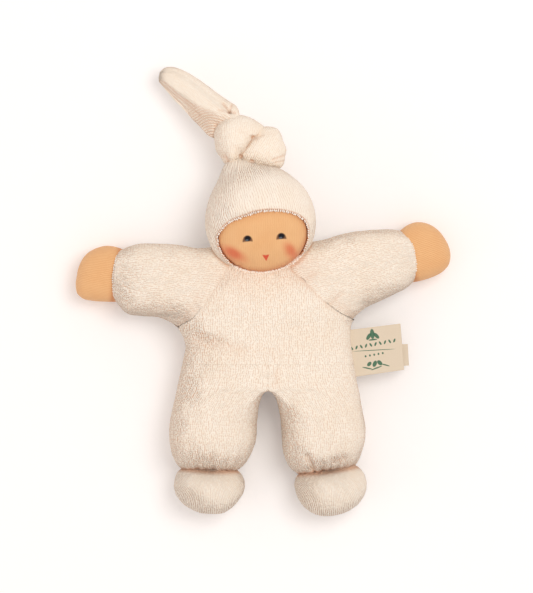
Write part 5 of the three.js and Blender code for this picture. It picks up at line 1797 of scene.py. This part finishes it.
# %% Loops on a line
def edge_loops(name, line, pitch, size, seed, way=None, closed=True):
    """
    Small eggs along a line of points in millimetres, a pitch apart. Each egg is scaled and moved a
    little at random. Where a way is given for each point, the eggs are drawn out to nearly twice
    their size along it.
    """
    if closed:
        line = np.concatenate([line, line[:1]])
    far = np.concatenate([[0], np.cumsum(np.linalg.norm(np.diff(line, axis=0), axis=1))])
    count = int(far[-1] / pitch)
    at = np.arange(count) * far[-1] / count
    places = np.stack([np.interp(at, far, line[:, i]) for i in range(3)], 1)
    rng = np.random.default_rng(seed)
    places = places + rng.normal(0, 0.1, places.shape)
    ball, quads, fans = egg()
    eggs = ball[None] * size * rng.uniform(0.75, 1.15, (count, 1, 3))
    if way is not None:
        way = np.concatenate([way, way[:1]])[:len(line)]
        lead = np.stack([np.interp(at, far, way[:, i]) for i in range(3)], 1)[:, None]
        eggs = eggs + 0.8 * lead * (eggs * lead).sum(-1, keepdims=True)
    points = (places[:, None] + eggs).reshape(-1, 3) * MM
    shift = np.arange(count)[:, None, None] * len(ball)
    faces = (quads[None] + shift).reshape(-1, 4).tolist() + (fans[None] + shift).reshape(-1, 3).tolist()
    mesh = bpy.data.meshes.new(name)
    mesh.from_pydata(points.tolist(), [], faces)
    mesh.shade_smooth()
    mesh.materials.append(loop_yarn)
    piece = bpy.data.objects.new(name, mesh)
    bpy.context.collection.objects.link(piece)
    print(f"{name}: {count} loops")
    return piece


# %% Loop yarn
loop_yarn, tree, shader = new_material("loop_yarn", {"Roughness": 1.0, "Specular IOR Level": 0.1})
place = node(tree, "ShaderNodeTexCoord").outputs["Object"]
fibres = noise(tree, place, 1800.0, 2.0)
yarn = mixed(tree, fibres, from_screen(252, 240, 224), from_screen(255, 253, 248))
tree.links.new(yarn, shader.inputs["Base Color"])
raised(tree, shader, fibres, 0.1, 0.6)
print("yarn:", loop_yarn.name)

# %% Hem and cuff loops
hem_loops = edge_loops("hem_loops", hem_line, 1.25, 0.4, 95, way=down)
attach(hem_loops, "head")
for side, name in ((1, "left"), (-1, "right")):
    cuff_loops = edge_loops(f"cuff_loops_{name}", cuff_lines[side], 1.15, 0.5, 96 + side)
    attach(cuff_loops, f"arm_{name}")

# %% [markdown]
# The suit's neckline borders the face with a row of longer loops. Its line is found from the suit's own
# points: those that lie on the head's ball, taken together in steps of the way round the chin.

# %% Neckline loops
CHIN_STEP = 2  # degrees
ON_BALL = 0.7  # mm from the ball at which a point counts as lying on it
points = np.concatenate(suit_points)
away = points - HEAD
on_ball = np.abs(np.linalg.norm(away, axis=1) - head_radius(points)) < ON_BALL
in_front = away[:, 2] > -9
points, away = points[on_ball & in_front], away[on_ball & in_front]
round_chin = np.degrees(np.arctan2(away[:, 0], -away[:, 1]))
near = [np.abs(round_chin - turn) < CHIN_STEP for turn in np.arange(-44, 72, CHIN_STEP)]
neck_line = np.array([points[chosen].mean(0) for chosen in near if chosen.any()])
neck_way = (neck_line - HEAD) * (1, 1, 0)
neck_way /= np.linalg.norm(neck_way, axis=1, keepdims=True)
neck_line = neck_line + 0.65 * neck_way + (0, 0, 0.25)
neck_loops = edge_loops("neck_loops", neck_line, 0.8, 0.45, 99, way=neck_way, closed=False)
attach(neck_loops, "torso")

# %% [markdown]
# ## What stays hidden
# The wound wool core, its gauze, the neck and the ties keep their solids, because they don't bend.
# They still get real finishes, for whoever takes the doll apart.


# %% Inner finishes
def fibre_material(name, light, deep, scale, depth):
    """Matt fibres: noise stretched along one way, for colour and relief."""
    material, tree, shader = new_material(name, {"Roughness": 1.0})
    place = node(tree, "ShaderNodeTexCoord").outputs["Object"]
    stretched = node(tree, "ShaderNodeMapping", {"Vector": place, "Scale": (scale, scale * 0.25, scale)})
    fibres = noise(tree, stretched.outputs[0], 1.0, 4.0)
    tree.links.new(mixed(tree, fibres, light, deep), shader.inputs["Base Color"])
    raised(tree, shader, fibres, depth)
    return material


INNER_ROWS = (("wool", "carded_wool", (246, 240, 226), (216, 204, 180), 900.0, 0.5),
              ("gauze", "tubular_gauze", (250, 246, 238), (226, 216, 198), 2500.0, 0.15),
              ("thread", "linen_thread", (232, 218, 196), (196, 176, 146), 3500.0, 0.15))
inner_finishes = {slot: fibre_material(name, from_screen(*light), from_screen(*deep), scale, depth)
                  for slot, name, light, deep, scale, depth in INNER_ROWS}
slots = {row["node"]: row["material_slot"] for row in frame["record"]["subparts"]}
dressed = [name for name, slot in slots.items() if slot in inner_finishes]
for name in dressed:
    mesh = frame["nodes"][name].data
    mesh.materials.clear()
    mesh.materials.append(inner_finishes[slots[name]])
print("inner pieces dressed:", len(dressed))
